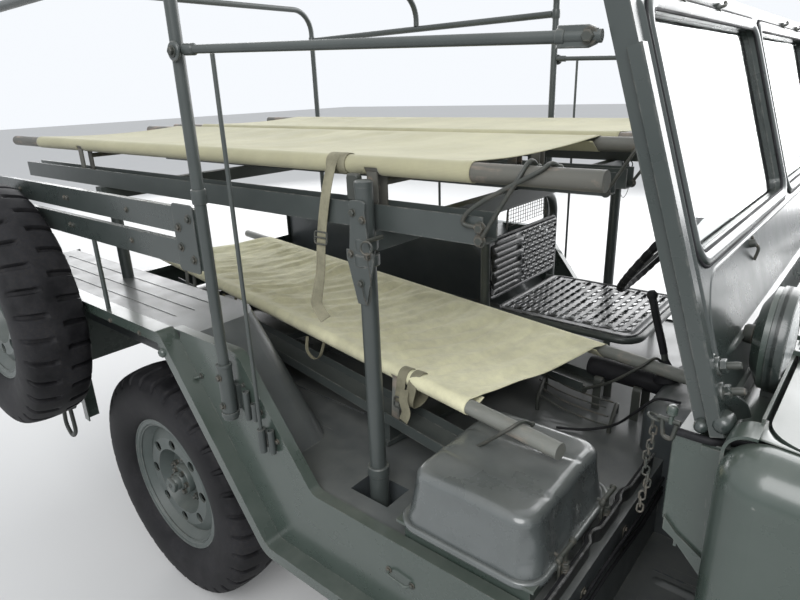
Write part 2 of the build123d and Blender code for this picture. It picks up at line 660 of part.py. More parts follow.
# Litter rack: posts, cross beams and channel rails
rear_post_x = -1150.0
channel_width = 50.0
channel_height = 50.0
inner_rail_y = 60.0
beam_z = 1270.7
post_foot_z = 604.0
post_top_z = 1387.0
post_collar_top_z = 742.0
with BuildPart() as rack_posts:
    for side, side_name in sides:
        with Locations((rack_post_x, side * rack_post_y, (post_foot_z + post_top_z) / 2)):
            Cylinder(rack_post_r, post_top_z - post_foot_z)
        with Locations((rack_post_x, side * rack_post_y, (post_foot_z + post_collar_top_z) / 2)):
            Cylinder(rack_post_r + 4, post_collar_top_z - post_foot_z)
        with Locations((rear_post_x, side * upper_rail_y, (house_top_z + seat_gap + beam_z) / 2)):
            Cylinder(rack_post_r, beam_z - house_top_z - seat_gap)
    with Locations((rack_post_x, 0, beam_z), (rear_post_x, 0, beam_z)):
        Box(36, 2 * rack_post_y - 16, 40)
save(rack_posts.part, "rack_posts")

with BuildPart() as upper_rails:
    for rail_y in (-upper_rail_y, -inner_rail_y, inner_rail_y, upper_rail_y):
        with Locations(((rail_front_x + rail_rear_x) / 2, rail_y, upper_rail_z)):
            Box(rail_front_x - rail_rear_x, channel_width, channel_height)
        with Locations(((rail_front_x + rail_rear_x) / 2, rail_y, upper_rail_z + 3)):
            Box(rail_front_x - rail_rear_x + 2, channel_width - 6, channel_height, mode=Mode.SUBTRACT)
save(upper_rails.part, "upper_rails")

# One litter, built with its near pole on the X axis and its front end at the origin
stirrup_x = (-455.0, -1725.0)
stirrup_drop = 115.7
with BuildPart() as litter_poles:
    for pole_y in (0, pole_spacing):
        with Locations(Location((-litter_length / 2, pole_y, 0), (0, 90, 0))):
            Cylinder(pole_r, litter_length)
        for foot_x in stirrup_x:
            for strap_y in (-14, 14):
                with Locations((foot_x, pole_y + strap_y, -stirrup_drop / 2 - 5)):
                    Box(26, 4, stirrup_drop - 10)
            with Locations((foot_x, pole_y, -stirrup_drop + 2)):
                Box(26, 32, 4)
    for foot_x in stirrup_x:
        with Locations(Location((foot_x, pole_spacing / 2, -34), (90, 0, 0))):
            Cylinder(7, pole_spacing - 31)
canvas_skin = 2.0
with BuildPart() as litter_canvas:
    for pole_y in (0, pole_spacing):
        with Locations(Location((-litter_length / 2, pole_y, 0), (0, 90, 0))):
            Cylinder(pole_r + seat_gap + canvas_skin, canvas_length)
    with Locations((-litter_length / 2, pole_spacing / 2, pole_r - 2)):
        Box(canvas_length, pole_spacing, 3)
    for pole_y in (0, pole_spacing):
        with Locations(Location((-litter_length / 2, pole_y, 0), (0, 90, 0))):
            Cylinder(pole_r + seat_gap, canvas_length + 2, mode=Mode.SUBTRACT)
        for foot_x in stirrup_x:
            with Locations((foot_x, pole_y, -10)):
                Box(34, 60, 40, mode=Mode.SUBTRACT)
lower_pose = Location(lower_litter_front, (-4.4, 0.9, -lower_litter_skew))
litter_places = (
    ("upper_litter_right", Location((upper_litter_front_x, -upper_litter_y, upper_litter_z))),
    ("upper_litter_left", Location((upper_litter_front_x, upper_litter_y - pole_spacing, upper_litter_z))),
    ("lower_litter", lower_pose),
)
for litter_name, place in litter_places:
    save(litter_poles.part.moved(place), f"{litter_name}_poles")
    save(litter_canvas.part.moved(place), f"{litter_name}_canvas")

# Lower rack: two shallow channels under the lower litter, with cross ties and legs
tray_width = 90.0
tray_front = -258.0
tray_rear = -1975.0
tray_bottom = -stirrup_drop - seat_gap - 3
with BuildPart() as tray:
    for pole_y in (0, pole_spacing):
        with Locations(((tray_front + tray_rear) / 2, pole_y, tray_bottom + 13)):
            Box(tray_front - tray_rear, tray_width, 26)
        with Locations(((tray_front + tray_rear) / 2, pole_y, tray_bottom + 17)):
            Box(tray_front - tray_rear + 2, tray_width - 6, 28, mode=Mode.SUBTRACT)
    for tie_x in (-500, -1100, -1700):
        with Locations((tie_x, pole_spacing / 2, tray_bottom + 12)):
            Box(40, pole_spacing - tray_width, 20)
with BuildPart() as lower_rack:
    add(tray.part.moved(lower_pose))
    skid_foot_z = floor_z + sheet + 4.5 + seat_gap
    for leg_x in (-500, -1100, -1700):
        for leg_y in (0, pole_spacing):
            top = (lower_pose * Location((leg_x, leg_y, tray_bottom + 2))).position
            with Locations((top.X, top.Y, (top.Z + skid_foot_z) / 2)):
                Box(40, 40, top.Z - skid_foot_z)
        middle = (lower_pose * Location((leg_x, pole_spacing / 2, tray_bottom))).position
        with Locations(Location((middle.X, middle.Y, skid_foot_z + 6), (0, 0, -lower_litter_skew))):
            Box(50, pole_spacing + 50, 12)
save(lower_rack.part, "lower_rack")

# Battery box with its rounded cover, beside the driver
box_x = (122.0, 424.0)
box_y = (-752.0, -404.0)
box_split_z = 742.0
cover_top_z = 858.0
floor_top = floor_z + sheet
with BuildPart() as battery_box:
    with Locations((sum(box_x) / 2, sum(box_y) / 2, (floor_top + seat_gap + box_split_z) / 2)):
        Box(box_x[1] - box_x[0] - 24, box_y[1] - box_y[0] - 24, box_split_z - floor_top - seat_gap)
    with Locations((sum(box_x) / 2, sum(box_y) / 2, box_split_z - 3)):
        Box(box_x[1] - box_x[0], box_y[1] - box_y[0], 6)
save(battery_box.part, "battery_box")
with BuildPart() as battery_cover:
    with BuildSketch(Plane.XY.offset(box_split_z)):
        with Locations((sum(box_x) / 2, sum(box_y) / 2)):
            RectangleRounded(box_x[1] - box_x[0] - 8, box_y[1] - box_y[0] - 8, 46)
    extrude(amount=cover_top_z - box_split_z, taper=9)
    fillet(battery_cover.faces().sort_by(Axis.Z)[-1].edges(), 22)
save(battery_cover.part, "battery_cover")
print("rails, racks, litters and battery box done")

# Driver's seat: a tube frame with perforated back and pan
seat_y = (156.0, 640.0)
seat_back_x = -240.0
seat_top_z = 1165.0
seat_tube_r = 16.0
pan_z = 826.0
pan_front_x = 262.0
pan_y = (seat_y[0] + 10, seat_y[1] - 28)
pan_tube_r = 12.0
back_mid_z = 968.0
back_height = 216.0
with BuildPart() as seat_frame:
    seat_foot_z = floor_top + seat_gap
    add(tube(((seat_back_x, seat_y[0], seat_foot_z), (seat_back_x, seat_y[0], seat_top_z),
              (seat_back_x, seat_y[1], seat_top_z), (seat_back_x, seat_y[1], seat_foot_z)), seat_tube_r, 85))
    add(tube(((seat_back_x, pan_y[0], pan_z), (pan_front_x, pan_y[0], pan_z),
              (pan_front_x, pan_y[1], pan_z), (seat_back_x, pan_y[1], pan_z)), pan_tube_r, 60))
    for leg_y in pan_y:
        with Locations((180, leg_y, (pan_z + seat_foot_z) / 2)):
            Cylinder(10, pan_z - seat_foot_z)
save(seat_frame.part, "seat_frame")
with BuildPart() as seat_panels:
    with BuildSketch(Plane.XY.offset(pan_z + pan_tube_r + seat_gap)):
        with Locations(((seat_back_x + pan_front_x) / 2 + 14, sum(pan_y) / 2)):
            RectangleRounded(pan_front_x - seat_back_x - 36, pan_y[1] - pan_y[0], 40)
            with GridLocations(62, 52, 7, 7):
                Rectangle(40, 20, mode=Mode.SUBTRACT)
    extrude(amount=sheet)
    with BuildSketch(Plane.YZ.offset(seat_back_x + seat_tube_r + seat_gap)):
        with Locations((sum(seat_y) / 2, back_mid_z)):
            RectangleRounded(seat_y[1] - seat_y[0] + 10, back_height, 36)
            with GridLocations(44, 56, 10, 3):
                Rectangle(22, 40, mode=Mode.SUBTRACT)
    extrude(amount=sheet)
save(seat_panels.part, "seat_panels")

# Steering: column on the body, wheel with a round rim and three spokes on its own body
steer_centre = (262.0, 385.0, 1085.0)
column_angle = 35.0
steer_rim = 196.0
column_length = 709.3
rim_tube_r = 11.0
steer_plane = Plane(origin=steer_centre, x_dir=(0, 1, 0),
                    z_dir=(-cos(radians(column_angle)), 0, sin(radians(column_angle))))
with BuildPart() as steering_wheel:
    with BuildSketch(Plane(origin=steer_plane.origin + steer_plane.x_dir * steer_rim,
                           x_dir=steer_plane.x_dir, z_dir=steer_plane.y_dir)):
        Circle(rim_tube_r)
    revolve(axis=Axis(steer_plane.origin, steer_plane.z_dir))
    with BuildSketch(steer_plane.offset(-30)):
        Circle(34)
    extrude(amount=30)
    with BuildSketch(steer_plane.offset(-12)):
        with PolarLocations(steer_rim / 2, 3, start_angle=-90):
            Rectangle(steer_rim, 22)
    extrude(amount=10)
save(steering_wheel.part, "steering_wheel")
column_low = steer_plane.origin - steer_plane.z_dir * column_length
column_top = steer_plane.origin - steer_plane.z_dir * 31
with BuildPart() as steering_column:
    add(tube((tuple(column_low), tuple(column_top)), 22))
save(steering_column.part, "steering_column")

# Underframe: two rails that follow the floor, joined by cross members
frame_outline = (
    (rear_panel_x + sheet + seat_gap, floor_z - seat_gap), (step_x - seat_gap, floor_z - seat_gap),
    (step_x - seat_gap, footwell_z - seat_gap), (toe_x + 1, footwell_z - seat_gap), (930, 610),
    (frame_front_x, 610), (frame_front_x, 530), (930, 530), (toe_x, 400), (400, 400), (330, 612),
    (rear_panel_x + sheet + seat_gap, 612),
)
with BuildPart() as underframe:
    for side, side_name in sides:
        with BuildSketch(Plane.XZ.offset(-side * (frame_y - frame_half))):
            with BuildLine():
                Polyline(*frame_outline, close=True)
            make_face()
        extrude(amount=-side * 2 * frame_half)
        for tower_x, tower_half, tower_low, tower_high in ((front_axle_x, 120, 268, 532),
                                                           (rear_axle_x, 200, 340, 614)):
            with Locations((tower_x, side * (frame_y + 16), (tower_low + tower_high) / 2)):
                Box(2 * tower_half, 32, tower_high - tower_low)
    with Locations((front_axle_x, 0, 446)):
        Box(120, 2 * frame_y, 28)
    with Locations((rear_axle_x, 0, 470)):
        Box(90, 2 * frame_y, 36)
    with Locations((-1400, 0, 640), (100, 0, 640)):
        Box(60, 2 * frame_y, 50)
    for axle_x in (front_axle_x, rear_axle_x):
        with Locations(Location((axle_x, 0, tyre_radius), (90, 0, 0))):
            Cylinder(24, 2 * frame_y + 80, mode=Mode.SUBTRACT)
    for side, side_name in sides:
        for seat_x, seat_z in ((front_axle_x - 62, 526), (rear_axle_x + 62, 606)):
            with Locations((seat_x, side * 400, seat_z)):
                Box(96, 144, 12)
save(underframe.part, "underframe")

# Engine and gearbox as one plain block, on mounts between the rails
engine_place = (1192.0, 0.0, 740.0)
gearbox_place = (732.0, 0.0, 412.0)
mount_places = ((1000.0, 0.0, 585.0), (1400.0, 0.0, 585.0))
with BuildPart() as engine:
    with Locations(engine_place):
        Box(575, 400, 540)
    with Locations(gearbox_place):
        Box(350, 220, 124)
    with Locations(*mount_places):
        Box(50, 2 * (frame_y - frame_half - seat_gap), 40)
save(engine.part, "engine")
radiator_mid_z = 814.8
radiator_height = 409.0
with BuildPart() as radiator:
    with Locations((grille_x - 75, 0, radiator_mid_z)):
        Box(50, 620, radiator_height)
save(radiator.part, "radiator")

# Suspension arms, springs, differentials and shafts, fixed to the body
kingpin_y = 578.0
pin_r = 10.0
arm_low_z = 276.0
arm_high_z = 494.0
spring_r = 34.0
spring_y = 400.0
drum_y = 637.0
drum_r = 135.0
spindle_r = 40.0
with BuildPart() as front_suspension:
    for side, side_name in sides:
        for arm_z, foot_half in ((arm_low_z, 116), (arm_high_z, 116)):
            with BuildSketch(Plane.XY.offset(arm_z - 6)):
                with BuildLine():
                    Polyline((front_axle_x - foot_half, side * (frame_y + 32.3)),
                             (front_axle_x + foot_half, side * (frame_y + 32.3)),
                             (front_axle_x + 22, side * kingpin_y), (front_axle_x - 22, side * kingpin_y),
                             close=True)
                make_face()
                with Locations((front_axle_x, side * kingpin_y)):
                    Circle(22)
                    Circle(pin_r + seat_gap, mode=Mode.SUBTRACT)
                if arm_z == arm_high_z:
                    with Locations((front_axle_x - 62, side * spring_y)):
                        Circle(spring_r + 6, mode=Mode.SUBTRACT)
            extrude(amount=12)
        with Locations((front_axle_x - 62, side * spring_y, (arm_low_z + 6 + 520) / 2)):
            Cylinder(spring_r, 520 - seat_gap - arm_low_z - 6)
        with Locations(Location((front_axle_x, side * 323, 384), (90, 0, 0))):
            Cylinder(14, 428)
    with Locations((front_axle_x, 0, 374)):
        Box(150, 220, 115)
save(front_suspension.part, "front_suspension")
with BuildPart() as rear_suspension:
    for side, side_name in sides:
        with BuildSketch(Plane.XY.offset(344)):
            with BuildLine():
                Polyline((rear_axle_x - 120, side * (frame_y + 32.3)),
                         (rear_axle_x + 190, side * (frame_y + 32.3)),
                         (rear_axle_x + 36, side * 590), (rear_axle_x - 36, side * 590), close=True)
            make_face()
        extrude(amount=14)
        with Locations((rear_axle_x, side * 590, 384)):
            Box(76, 30, 110)
        with Locations((rear_axle_x + 62, side * spring_y, (358 + 600) / 2)):
            Cylinder(spring_r, 600 - seat_gap - 358)
        with Locations(Location((rear_axle_x, side * 340, 384), (90, 0, 0))):
            Cylinder(14, 480)
        with Locations(Location((rear_axle_x, side * drum_y, tyre_radius), (90, 0, 0))):
            Cylinder(drum_r, 50)
            Cylinder(spindle_r, 67.4)
    with Locations((rear_axle_x, 0, 394)):
        Box(150, 220, 115)
save(rear_suspension.part, "rear_suspension")
with BuildPart() as propeller_shafts:
    for shaft_from, shaft_to in ((rear_axle_x + 75.3, 556.7), (907.3, front_axle_x - 75.3)):
        with Locations(Location(((shaft_from + shaft_to) / 2, 0, 386), (0, 90, 0))):
            Cylinder(20, shaft_to - shaft_from)
save(propeller_shafts.part, "propeller_shafts")

# Steered knuckles: upright, kingpin, spindle and brake drum
for side, side_name in sides:
    with BuildPart() as knuckle:
        with Locations((front_axle_x, side * kingpin_y, 385)):
            Box(60, 44, 200)
            Cylinder(pin_r, 236)
        with Locations(Location((front_axle_x, side * drum_y, tyre_radius), (90, 0, 0))):
            Cylinder(drum_r, 50)
            Cylinder(spindle_r, 67.4)
        with Locations((front_axle_x, side * 606, 384)):
            Box(60, 14, 120)
    save(knuckle.part, f"knuckle_{side_name}")

# Spare wheel on a carrier at the right rear
spare_x = -1345.0
spare_z = 940.0
spare_place = Location((spare_x, -912, spare_z))
save(tyre.part.moved(spare_place), "spare_tyre")
save(wheel.part.moved(spare_place), "spare_wheel")
with BuildPart() as spare_carrier:
    with BuildSketch(Plane.XZ.offset(skin_y + seat_gap)):
        with Locations((spare_x, spare_z - 40)):
            RectangleRounded(200, 130, 20)
    extrude(amount=8)
    with BuildSketch(Plane.XZ.offset(skin_y + seat_gap)):
        with Locations((spare_x, spare_z - 20)):
            RectangleRounded(90, 80, 12)
    extrude(amount=134)
    with BuildSketch(Plane.XZ.offset(902)):
        with Locations((spare_x, spare_z)):
            Circle(84)
    extrude(amount=910 - seat_gap - 902)
save(spare_carrier.part, "spare_carrier")

# Mirror on the driver's side and a spot lamp on the cowl
mirror_x = 640.0
mirror_y = 931.0
with BuildPart() as mirror:
    add(tube(((mirror_x, cowl_half_width + seat_gap, 1060), (mirror_x, mirror_y, 1060),
              (mirror_x, mirror_y, 1230)), 7, 30))
    with BuildSketch(Plane.YZ.offset(mirror_x - 10)):
        with Locations((mirror_y, 1310)):
            RectangleRounded(150, 180, 22)
    extrude(amount=20)
save(mirror.part, "mirror")
spot_lamp_y = -522.0
spot_lamp_r = 76.0
spot_lamp_z = cowl_top_z + 14 + spot_lamp_r
with BuildPart() as spot_lamp:
    with BuildSketch(Plane.YZ.offset(hood_rear_x - 54)):
        with Locations((spot_lamp_y, spot_lamp_z)):
            Circle(spot_lamp_r - 26)
    with BuildSketch(Plane.YZ.offset(hood_rear_x - 40)):
        with Locations((spot_lamp_y, spot_lamp_z)):
            Circle(spot_lamp_r)
    loft()
    with BuildSketch(Plane.YZ.offset(hood_rear_x - 40)):
        with Locations((spot_lamp_y, spot_lamp_z)):
            Circle(spot_lamp_r)
    extrude(amount=23)
    with Locations((hood_rear_x - 28, spot_lamp_y, cowl_top_z + seat_gap + 14)):
        Box(18, 26, 28)
save(spot_lamp.part, "spot_lamp")
print("running gear, spare wheel, mirror and lamp done")
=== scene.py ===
import math

import bmesh
import bpy
import numpy as np
from mathutils import Matrix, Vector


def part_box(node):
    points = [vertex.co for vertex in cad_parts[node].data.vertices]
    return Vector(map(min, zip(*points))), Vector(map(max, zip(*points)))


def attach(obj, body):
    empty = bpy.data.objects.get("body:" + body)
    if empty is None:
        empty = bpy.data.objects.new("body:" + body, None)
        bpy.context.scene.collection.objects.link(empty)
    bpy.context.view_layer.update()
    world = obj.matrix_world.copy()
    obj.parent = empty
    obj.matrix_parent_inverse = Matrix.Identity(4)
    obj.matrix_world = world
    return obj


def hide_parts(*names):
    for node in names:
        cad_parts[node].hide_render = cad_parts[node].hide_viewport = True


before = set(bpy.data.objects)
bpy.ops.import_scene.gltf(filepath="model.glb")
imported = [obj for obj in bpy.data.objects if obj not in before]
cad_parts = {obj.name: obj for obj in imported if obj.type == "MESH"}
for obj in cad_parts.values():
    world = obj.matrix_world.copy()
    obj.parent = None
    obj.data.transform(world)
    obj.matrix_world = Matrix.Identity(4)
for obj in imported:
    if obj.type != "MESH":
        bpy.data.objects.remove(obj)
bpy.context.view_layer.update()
print("frame loaded")


# Camera: the place, heading, tilt and roll from which the truck is seen
viewSettings = {
    "place": (0.7706, -1.4801, 1.5518),
    "heading": 40.32,  # degrees from +Y towards -X
    "tilt": 19.62,     # degrees downwards
    "roll": -2.07,
    "focalPixels": 597.0,
    "imageWidth": 800.0,
}


def placeObject(name, data, axes, place):
    # A camera or lamp at a place, its three axes given as columns
    thing = bpy.data.objects.new(name, data)
    placed = np.eye(4)
    placed[:3, :3] = np.column_stack(axes)
    placed[:3, 3] = place
    thing.matrix_world = Matrix(placed.tolist())
    bpy.context.collection.objects.link(thing)
    return thing


def addCamera(settings):
    heading, tilt, roll = (math.radians(settings[key]) for key in ("heading", "tilt", "roll"))
    ahead = np.array([-math.sin(heading) * math.cos(tilt), math.cos(heading) * math.cos(tilt), -math.sin(tilt)])
    level = np.array([math.cos(heading), math.sin(heading), 0.0])
    up = np.cross(level, ahead)
    right = math.cos(roll) * level + math.sin(roll) * up
    top = -math.sin(roll) * level + math.cos(roll) * up
    data = bpy.data.cameras.new("photoCamera")
    data.sensor_width = 36.0
    data.sensor_fit = "HORIZONTAL"
    data.lens = settings["focalPixels"] / settings["imageWidth"] * data.sensor_width
    data.clip_start = 0.02
    data.clip_end = 200.0
    bpy.context.scene.camera = placeObject("photoCamera", data, (right, top, -ahead), settings["place"])


addCamera(viewSettings)

# Studio: pale floor and surroundings, wide lamps on the far side and behind, a smaller one on the camera's side
studio = {
    "floorColour": (0.6, 0.6, 0.595, 1.0),
    "floorReach": 40.0,
    "worldColour": (0.93, 0.96, 1.0, 1.0),
    "worldLight": 0.92,
    "lampTarget": (0.0, 0.0, 0.7),
    "lamps": {
        "topLamp": {"place": (0.6, 5.8, 3.6), "size": 7.0, "power": 460.0},
        "rearLamp": {"place": (-7.6, 3.9, 3.4), "size": 5.5, "power": 250.0},
        "sideLamp": {"place": (1.7, -4.0, 4.2), "size": 3.6, "power": 170.0},
    },
}


def unit(vector):
    vector = np.asarray(vector, float)
    return vector / np.linalg.norm(vector)


def addLamp(name, target, place, size, power):
    data = bpy.data.lights.new(name, "AREA")
    data.shape = "DISK"
    data.size = size
    data.energy = power
    back = unit(np.array(place) - np.array(target))
    side = unit(np.cross((0.0, 0.0, 1.0), back))
    placeObject(name, data, (side, np.cross(back, side), back), place)


# Shader building
def setInputs(tree, node, inputs):
    # An output is linked to its input; any other value is that input's own
    for key, value in inputs.items():
        if hasattr(value, "is_linked"):
            tree.links.new(value, node.inputs[key])
        else:
            node.inputs[key].default_value = value


def addNode(tree, kind, inputs=None, **settings):
    node = tree.nodes.new(kind)
    for key, value in settings.items():
        setattr(node, key, value)
    setInputs(tree, node, inputs or {})
    return node


def mixColour(tree, factor, first, second):
    # The sockets of a colour mix are its numbers 0, 6 and 7
    node = addNode(tree, "ShaderNodeMix", {0: factor, 6: first, 7: second}, data_type="RGBA", blend_type="MIX")
    return node.outputs[2]


def calc(tree, operation, *values, clamp=False):
    return addNode(tree, "ShaderNodeMath", dict(enumerate(values)), operation=operation, use_clamp=clamp).outputs[0]


def remap(tree, value, fromMin, fromMax, toMin=0.0, toMax=1.0):
    return addNode(tree, "ShaderNodeMapRange", {"Value": value, "From Min": fromMin, "From Max": fromMax,
                                                "To Min": toMin, "To Max": toMax}).outputs["Result"]


def noise(tree, vector, scale, detail=3.0, roughness=0.55):
    return addNode(tree, "ShaderNodeTexNoise", {"Vector": vector, "Scale": scale, "Detail": detail,
                                                "Roughness": roughness, "Distortion": 0.0}).outputs["Fac"]


def stripes(tree, vector, scale, distortion, detail, way):
    return addNode(tree, "ShaderNodeTexWave", {"Vector": vector, "Scale": scale, "Distortion": distortion,
                                               "Detail": detail}, wave_type="BANDS", bands_direction=way).outputs["Fac"]


def bump(tree, height, strength, distance):
    return addNode(tree, "ShaderNodeBump", {"Height": height, "Strength": strength,
                                            "Distance": distance}).outputs["Normal"]


def newMaterial(name):
    # A material, its node tree and the object's own coordinates in it
    material = bpy.data.materials.new(name)
    material.use_nodes = True
    tree = material.node_tree
    return material, tree, addNode(tree, "ShaderNodeTexCoord").outputs["Object"]


def dress(material, inputs):
    setInputs(material.node_tree, material.node_tree.nodes["Principled BSDF"], inputs)
    return material


def addStudio(settings):
    # The world shines fully on what the camera sees directly, in a mirror or through glass, and less on the scene
    world = bpy.data.worlds.new("studioWorld")
    bpy.context.scene.world = world
    world.use_nodes = True
    tree = world.node_tree
    path = addNode(tree, "ShaderNodeLightPath").outputs
    mirrored = calc(tree, "MAXIMUM", path["Is Camera Ray"], path["Is Glossy Ray"])
    seen = calc(tree, "MAXIMUM", mirrored, path["Is Transmission Ray"])
    strength = remap(tree, seen, 0.0, 1.0, settings["worldLight"], 1.0)
    setInputs(tree, tree.nodes["Background"], {"Color": settings["worldColour"], "Strength": strength})
    for name, lamp in settings["lamps"].items():
        addLamp(name, settings["lampTarget"], **lamp)
    mesh = bpy.data.meshes.new("studioFloor")
    reach = settings["floorReach"]
    corners = [(-reach, -reach, 0), (reach, -reach, 0), (reach, reach, 0), (-reach, reach, 0)]
    mesh.from_pydata(corners, [], [(0, 1, 2, 3)])
    floor = bpy.data.objects.new("studioFloor", mesh)
    bpy.context.collection.objects.link(floor)
    paint, _, _ = newMaterial("studioFloor")
    mesh.materials.append(dress(paint, {"Base Color": settings["floorColour"], "Roughness": 0.9,
                                        "Specular IOR Level": 0.2}))
    bpy.context.scene.view_settings.view_transform = "Standard"


addStudio(studio)
print("camera and studio ready")


def newGroup(name, inputs, outputs):
    group = bpy.data.node_groups.new(name, "ShaderNodeTree")
    for label, kind, value in inputs:
        socket = group.interface.new_socket(label, in_out="INPUT", socket_type=kind)
        socket.default_value = value
    for label, kind in outputs:
        group.interface.new_socket(label, in_out="OUTPUT", socket_type=kind)
    return group, group.nodes.new("NodeGroupInput").outputs, group.nodes.new("NodeGroupOutput")


def makeAgedPaint():
    # Brushed field paint: broad fading, dust on what faces up, rubbed edges and small chips, in object space
    group, source, result = newGroup(
        "agedPaint",
        [("Colour", "NodeSocketColor", (0.08, 0.09, 0.07, 1)), ("Faded", "NodeSocketColor", (0.13, 0.14, 0.12, 1)),
         ("Bare", "NodeSocketColor", (0.2, 0.19, 0.17, 1)), ("Dust", "NodeSocketFloat", 0.3),
         ("Wear", "NodeSocketFloat", 0.3), ("Gloss", "NodeSocketFloat", 0.4)],
        [("Colour", "NodeSocketColor"), ("Roughness", "NodeSocketFloat"), ("Height", "NodeSocketFloat")])

    def times(first, second, clamp=False):
        return calc(group, "MULTIPLY", first, second, clamp=clamp)

    place = addNode(group, "ShaderNodeTexCoord").outputs
    spot = place["Object"]
    broad = remap(group, noise(group, spot, 2.6, 5.0), 0.38, 0.66)
    cloudy = remap(group, noise(group, spot, 11.0, 6.0, 0.62), 0.35, 0.7)
    fine = noise(group, spot, 160.0, 3.0, 0.6)
    upward = addNode(group, "ShaderNodeSeparateXYZ", {"Vector": place["Normal"]}).outputs["Z"]
    facesUp = remap(group, upward, 0.25, 0.95)
    corner = addNode(group, "ShaderNodeBevel", {"Radius": 0.004}, samples=4).outputs["Normal"]
    flat = addNode(group, "ShaderNodeNewGeometry").outputs["Normal"]
    nearness = addNode(group, "ShaderNodeVectorMath", {0: corner, 1: flat}, operation="DOT_PRODUCT")
    edge = remap(group, nearness.outputs["Value"], 0.995, 0.9)
    ragged = remap(group, noise(group, spot, 38.0, 5.0, 0.7), 0.46, 0.6)
    chips = remap(group, noise(group, spot, 75.0, 6.0, 0.75), 0.69, 0.73)
    bare = times(calc(group, "MAXIMUM", times(edge, ragged, True), chips), source["Wear"], True)
    faded = calc(group, "MULTIPLY_ADD", broad, 0.45, times(cloudy, 0.35), clamp=True)
    colour = mixColour(group, faded, source["Colour"], source["Faded"])
    film = times(times(facesUp, calc(group, "MULTIPLY_ADD", cloudy, 0.6, 0.4)), source["Dust"], True)
    colour = mixColour(group, times(film, 0.35), colour, (0.3, 0.29, 0.25, 1))
    rough = calc(group, "ADD", source["Gloss"], times(cloudy, 0.12))
    setInputs(group, result, {
        "Colour": mixColour(group, bare, colour, source["Bare"]),
        "Roughness": calc(group, "ADD", rough, times(film, 0.22), clamp=True),
        "Height": calc(group, "ADD", times(fine, 0.5), times(cloudy, 0.5))})
    return group


agedPaint = makeAgedPaint()


def makePaint(name, colour, faded, bare=(0.22, 0.21, 0.19), dust=0.4, wear=0.4, gloss=0.36, coat=0.0):
    # Colours are given as red, green and blue
    material, tree, _ = newMaterial(name)
    age = addNode(tree, "ShaderNodeGroup", {
        "Colour": (*colour, 1), "Faded": (*faded, 1), "Bare": (*bare, 1), "Dust": dust, "Wear": wear,
        "Gloss": gloss}, node_tree=agedPaint).outputs
    return dress(material, {
        "Base Color": age["Colour"], "Roughness": age["Roughness"], "Normal": bump(tree, age["Height"], 0.05, 0.002),
        "Specular IOR Level": 0.5, "Coat Weight": coat, "Coat Roughness": 0.16})


olivePaint = makePaint("olivePaint", (0.037, 0.053, 0.044), (0.058, 0.075, 0.065), gloss=0.24, coat=0.6)
framePaint = makePaint("framePaint", (0.029, 0.038, 0.035), (0.043, 0.052, 0.049), dust=0.35, gloss=0.24, coat=0.4)
deckPaint = makePaint("deckPaint", (0.052, 0.06, 0.062), (0.082, 0.092, 0.096), dust=0.6, wear=0.6, gloss=0.3,
                      coat=0.2)
wheelPaint = makePaint("wheelPaint", (0.052, 0.066, 0.062), (0.085, 0.1, 0.094), dust=0.5, wear=0.5, gloss=0.34)
tubePaint = makePaint("tubePaint", (0.044, 0.052, 0.05), (0.066, 0.076, 0.072), dust=0.3, wear=0.6, gloss=0.3)
seatPaint = makePaint("seatPaint", (0.016, 0.017, 0.017), (0.03, 0.031, 0.03), (0.3, 0.3, 0.3), wear=0.9,
                      gloss=0.38)
seatSteel = makePaint("seatSteel", (0.02, 0.021, 0.022), (0.06, 0.062, 0.064), (0.42, 0.43, 0.45), 0.3, 1.0, 0.24)
coverPaint = makePaint("coverPaint", (0.07, 0.08, 0.078), (0.115, 0.127, 0.128), dust=0.5, wear=0.5, gloss=0.22,
                       coat=0.9)
chassisPaint = makePaint("chassisPaint", (0.022, 0.023, 0.021), (0.045, 0.044, 0.038), (0.1, 0.06, 0.04), 0.9, 0.7,
                         0.6)
boltPaint = makePaint("boltPaint", (0.03, 0.034, 0.029), (0.055, 0.06, 0.052), (0.16, 0.13, 0.1), 0.3, 0.7, 0.45)


def makeRubber(name, colour, dusty):
    # Old rubber: dull black, greyed in patches, with brown specks of dust in the same patches
    material, tree, spot = newMaterial(name)
    broad = remap(tree, noise(tree, spot, 7.0, 6.0, 0.65), 0.4, 0.68)
    speck = remap(tree, noise(tree, spot, 130.0, 4.0, 0.7), 0.45, 0.65)
    base = mixColour(tree, broad, colour, (0.024, 0.024, 0.027, 1))
    film = calc(tree, "MULTIPLY", calc(tree, "MULTIPLY", broad, speck), 0.35)
    return dress(material, {
        "Base Color": mixColour(tree, film, base, dusty), "Roughness": remap(tree, broad, 0.0, 1.0, 0.55, 0.78),
        "Specular IOR Level": 0.2, "Normal": bump(tree, noise(tree, spot, 420.0, 3.0), 0.15, 0.001)})


tyreRubber = makeRubber("tyreRubber", (0.006, 0.006, 0.007, 1), (0.045, 0.038, 0.031, 1))
sealRubber = makeRubber("sealRubber", (0.01, 0.01, 0.011, 1), (0.05, 0.05, 0.045, 1))
gripPlastic = makeRubber("gripPlastic", (0.008, 0.008, 0.009, 1), (0.03, 0.028, 0.025, 1))


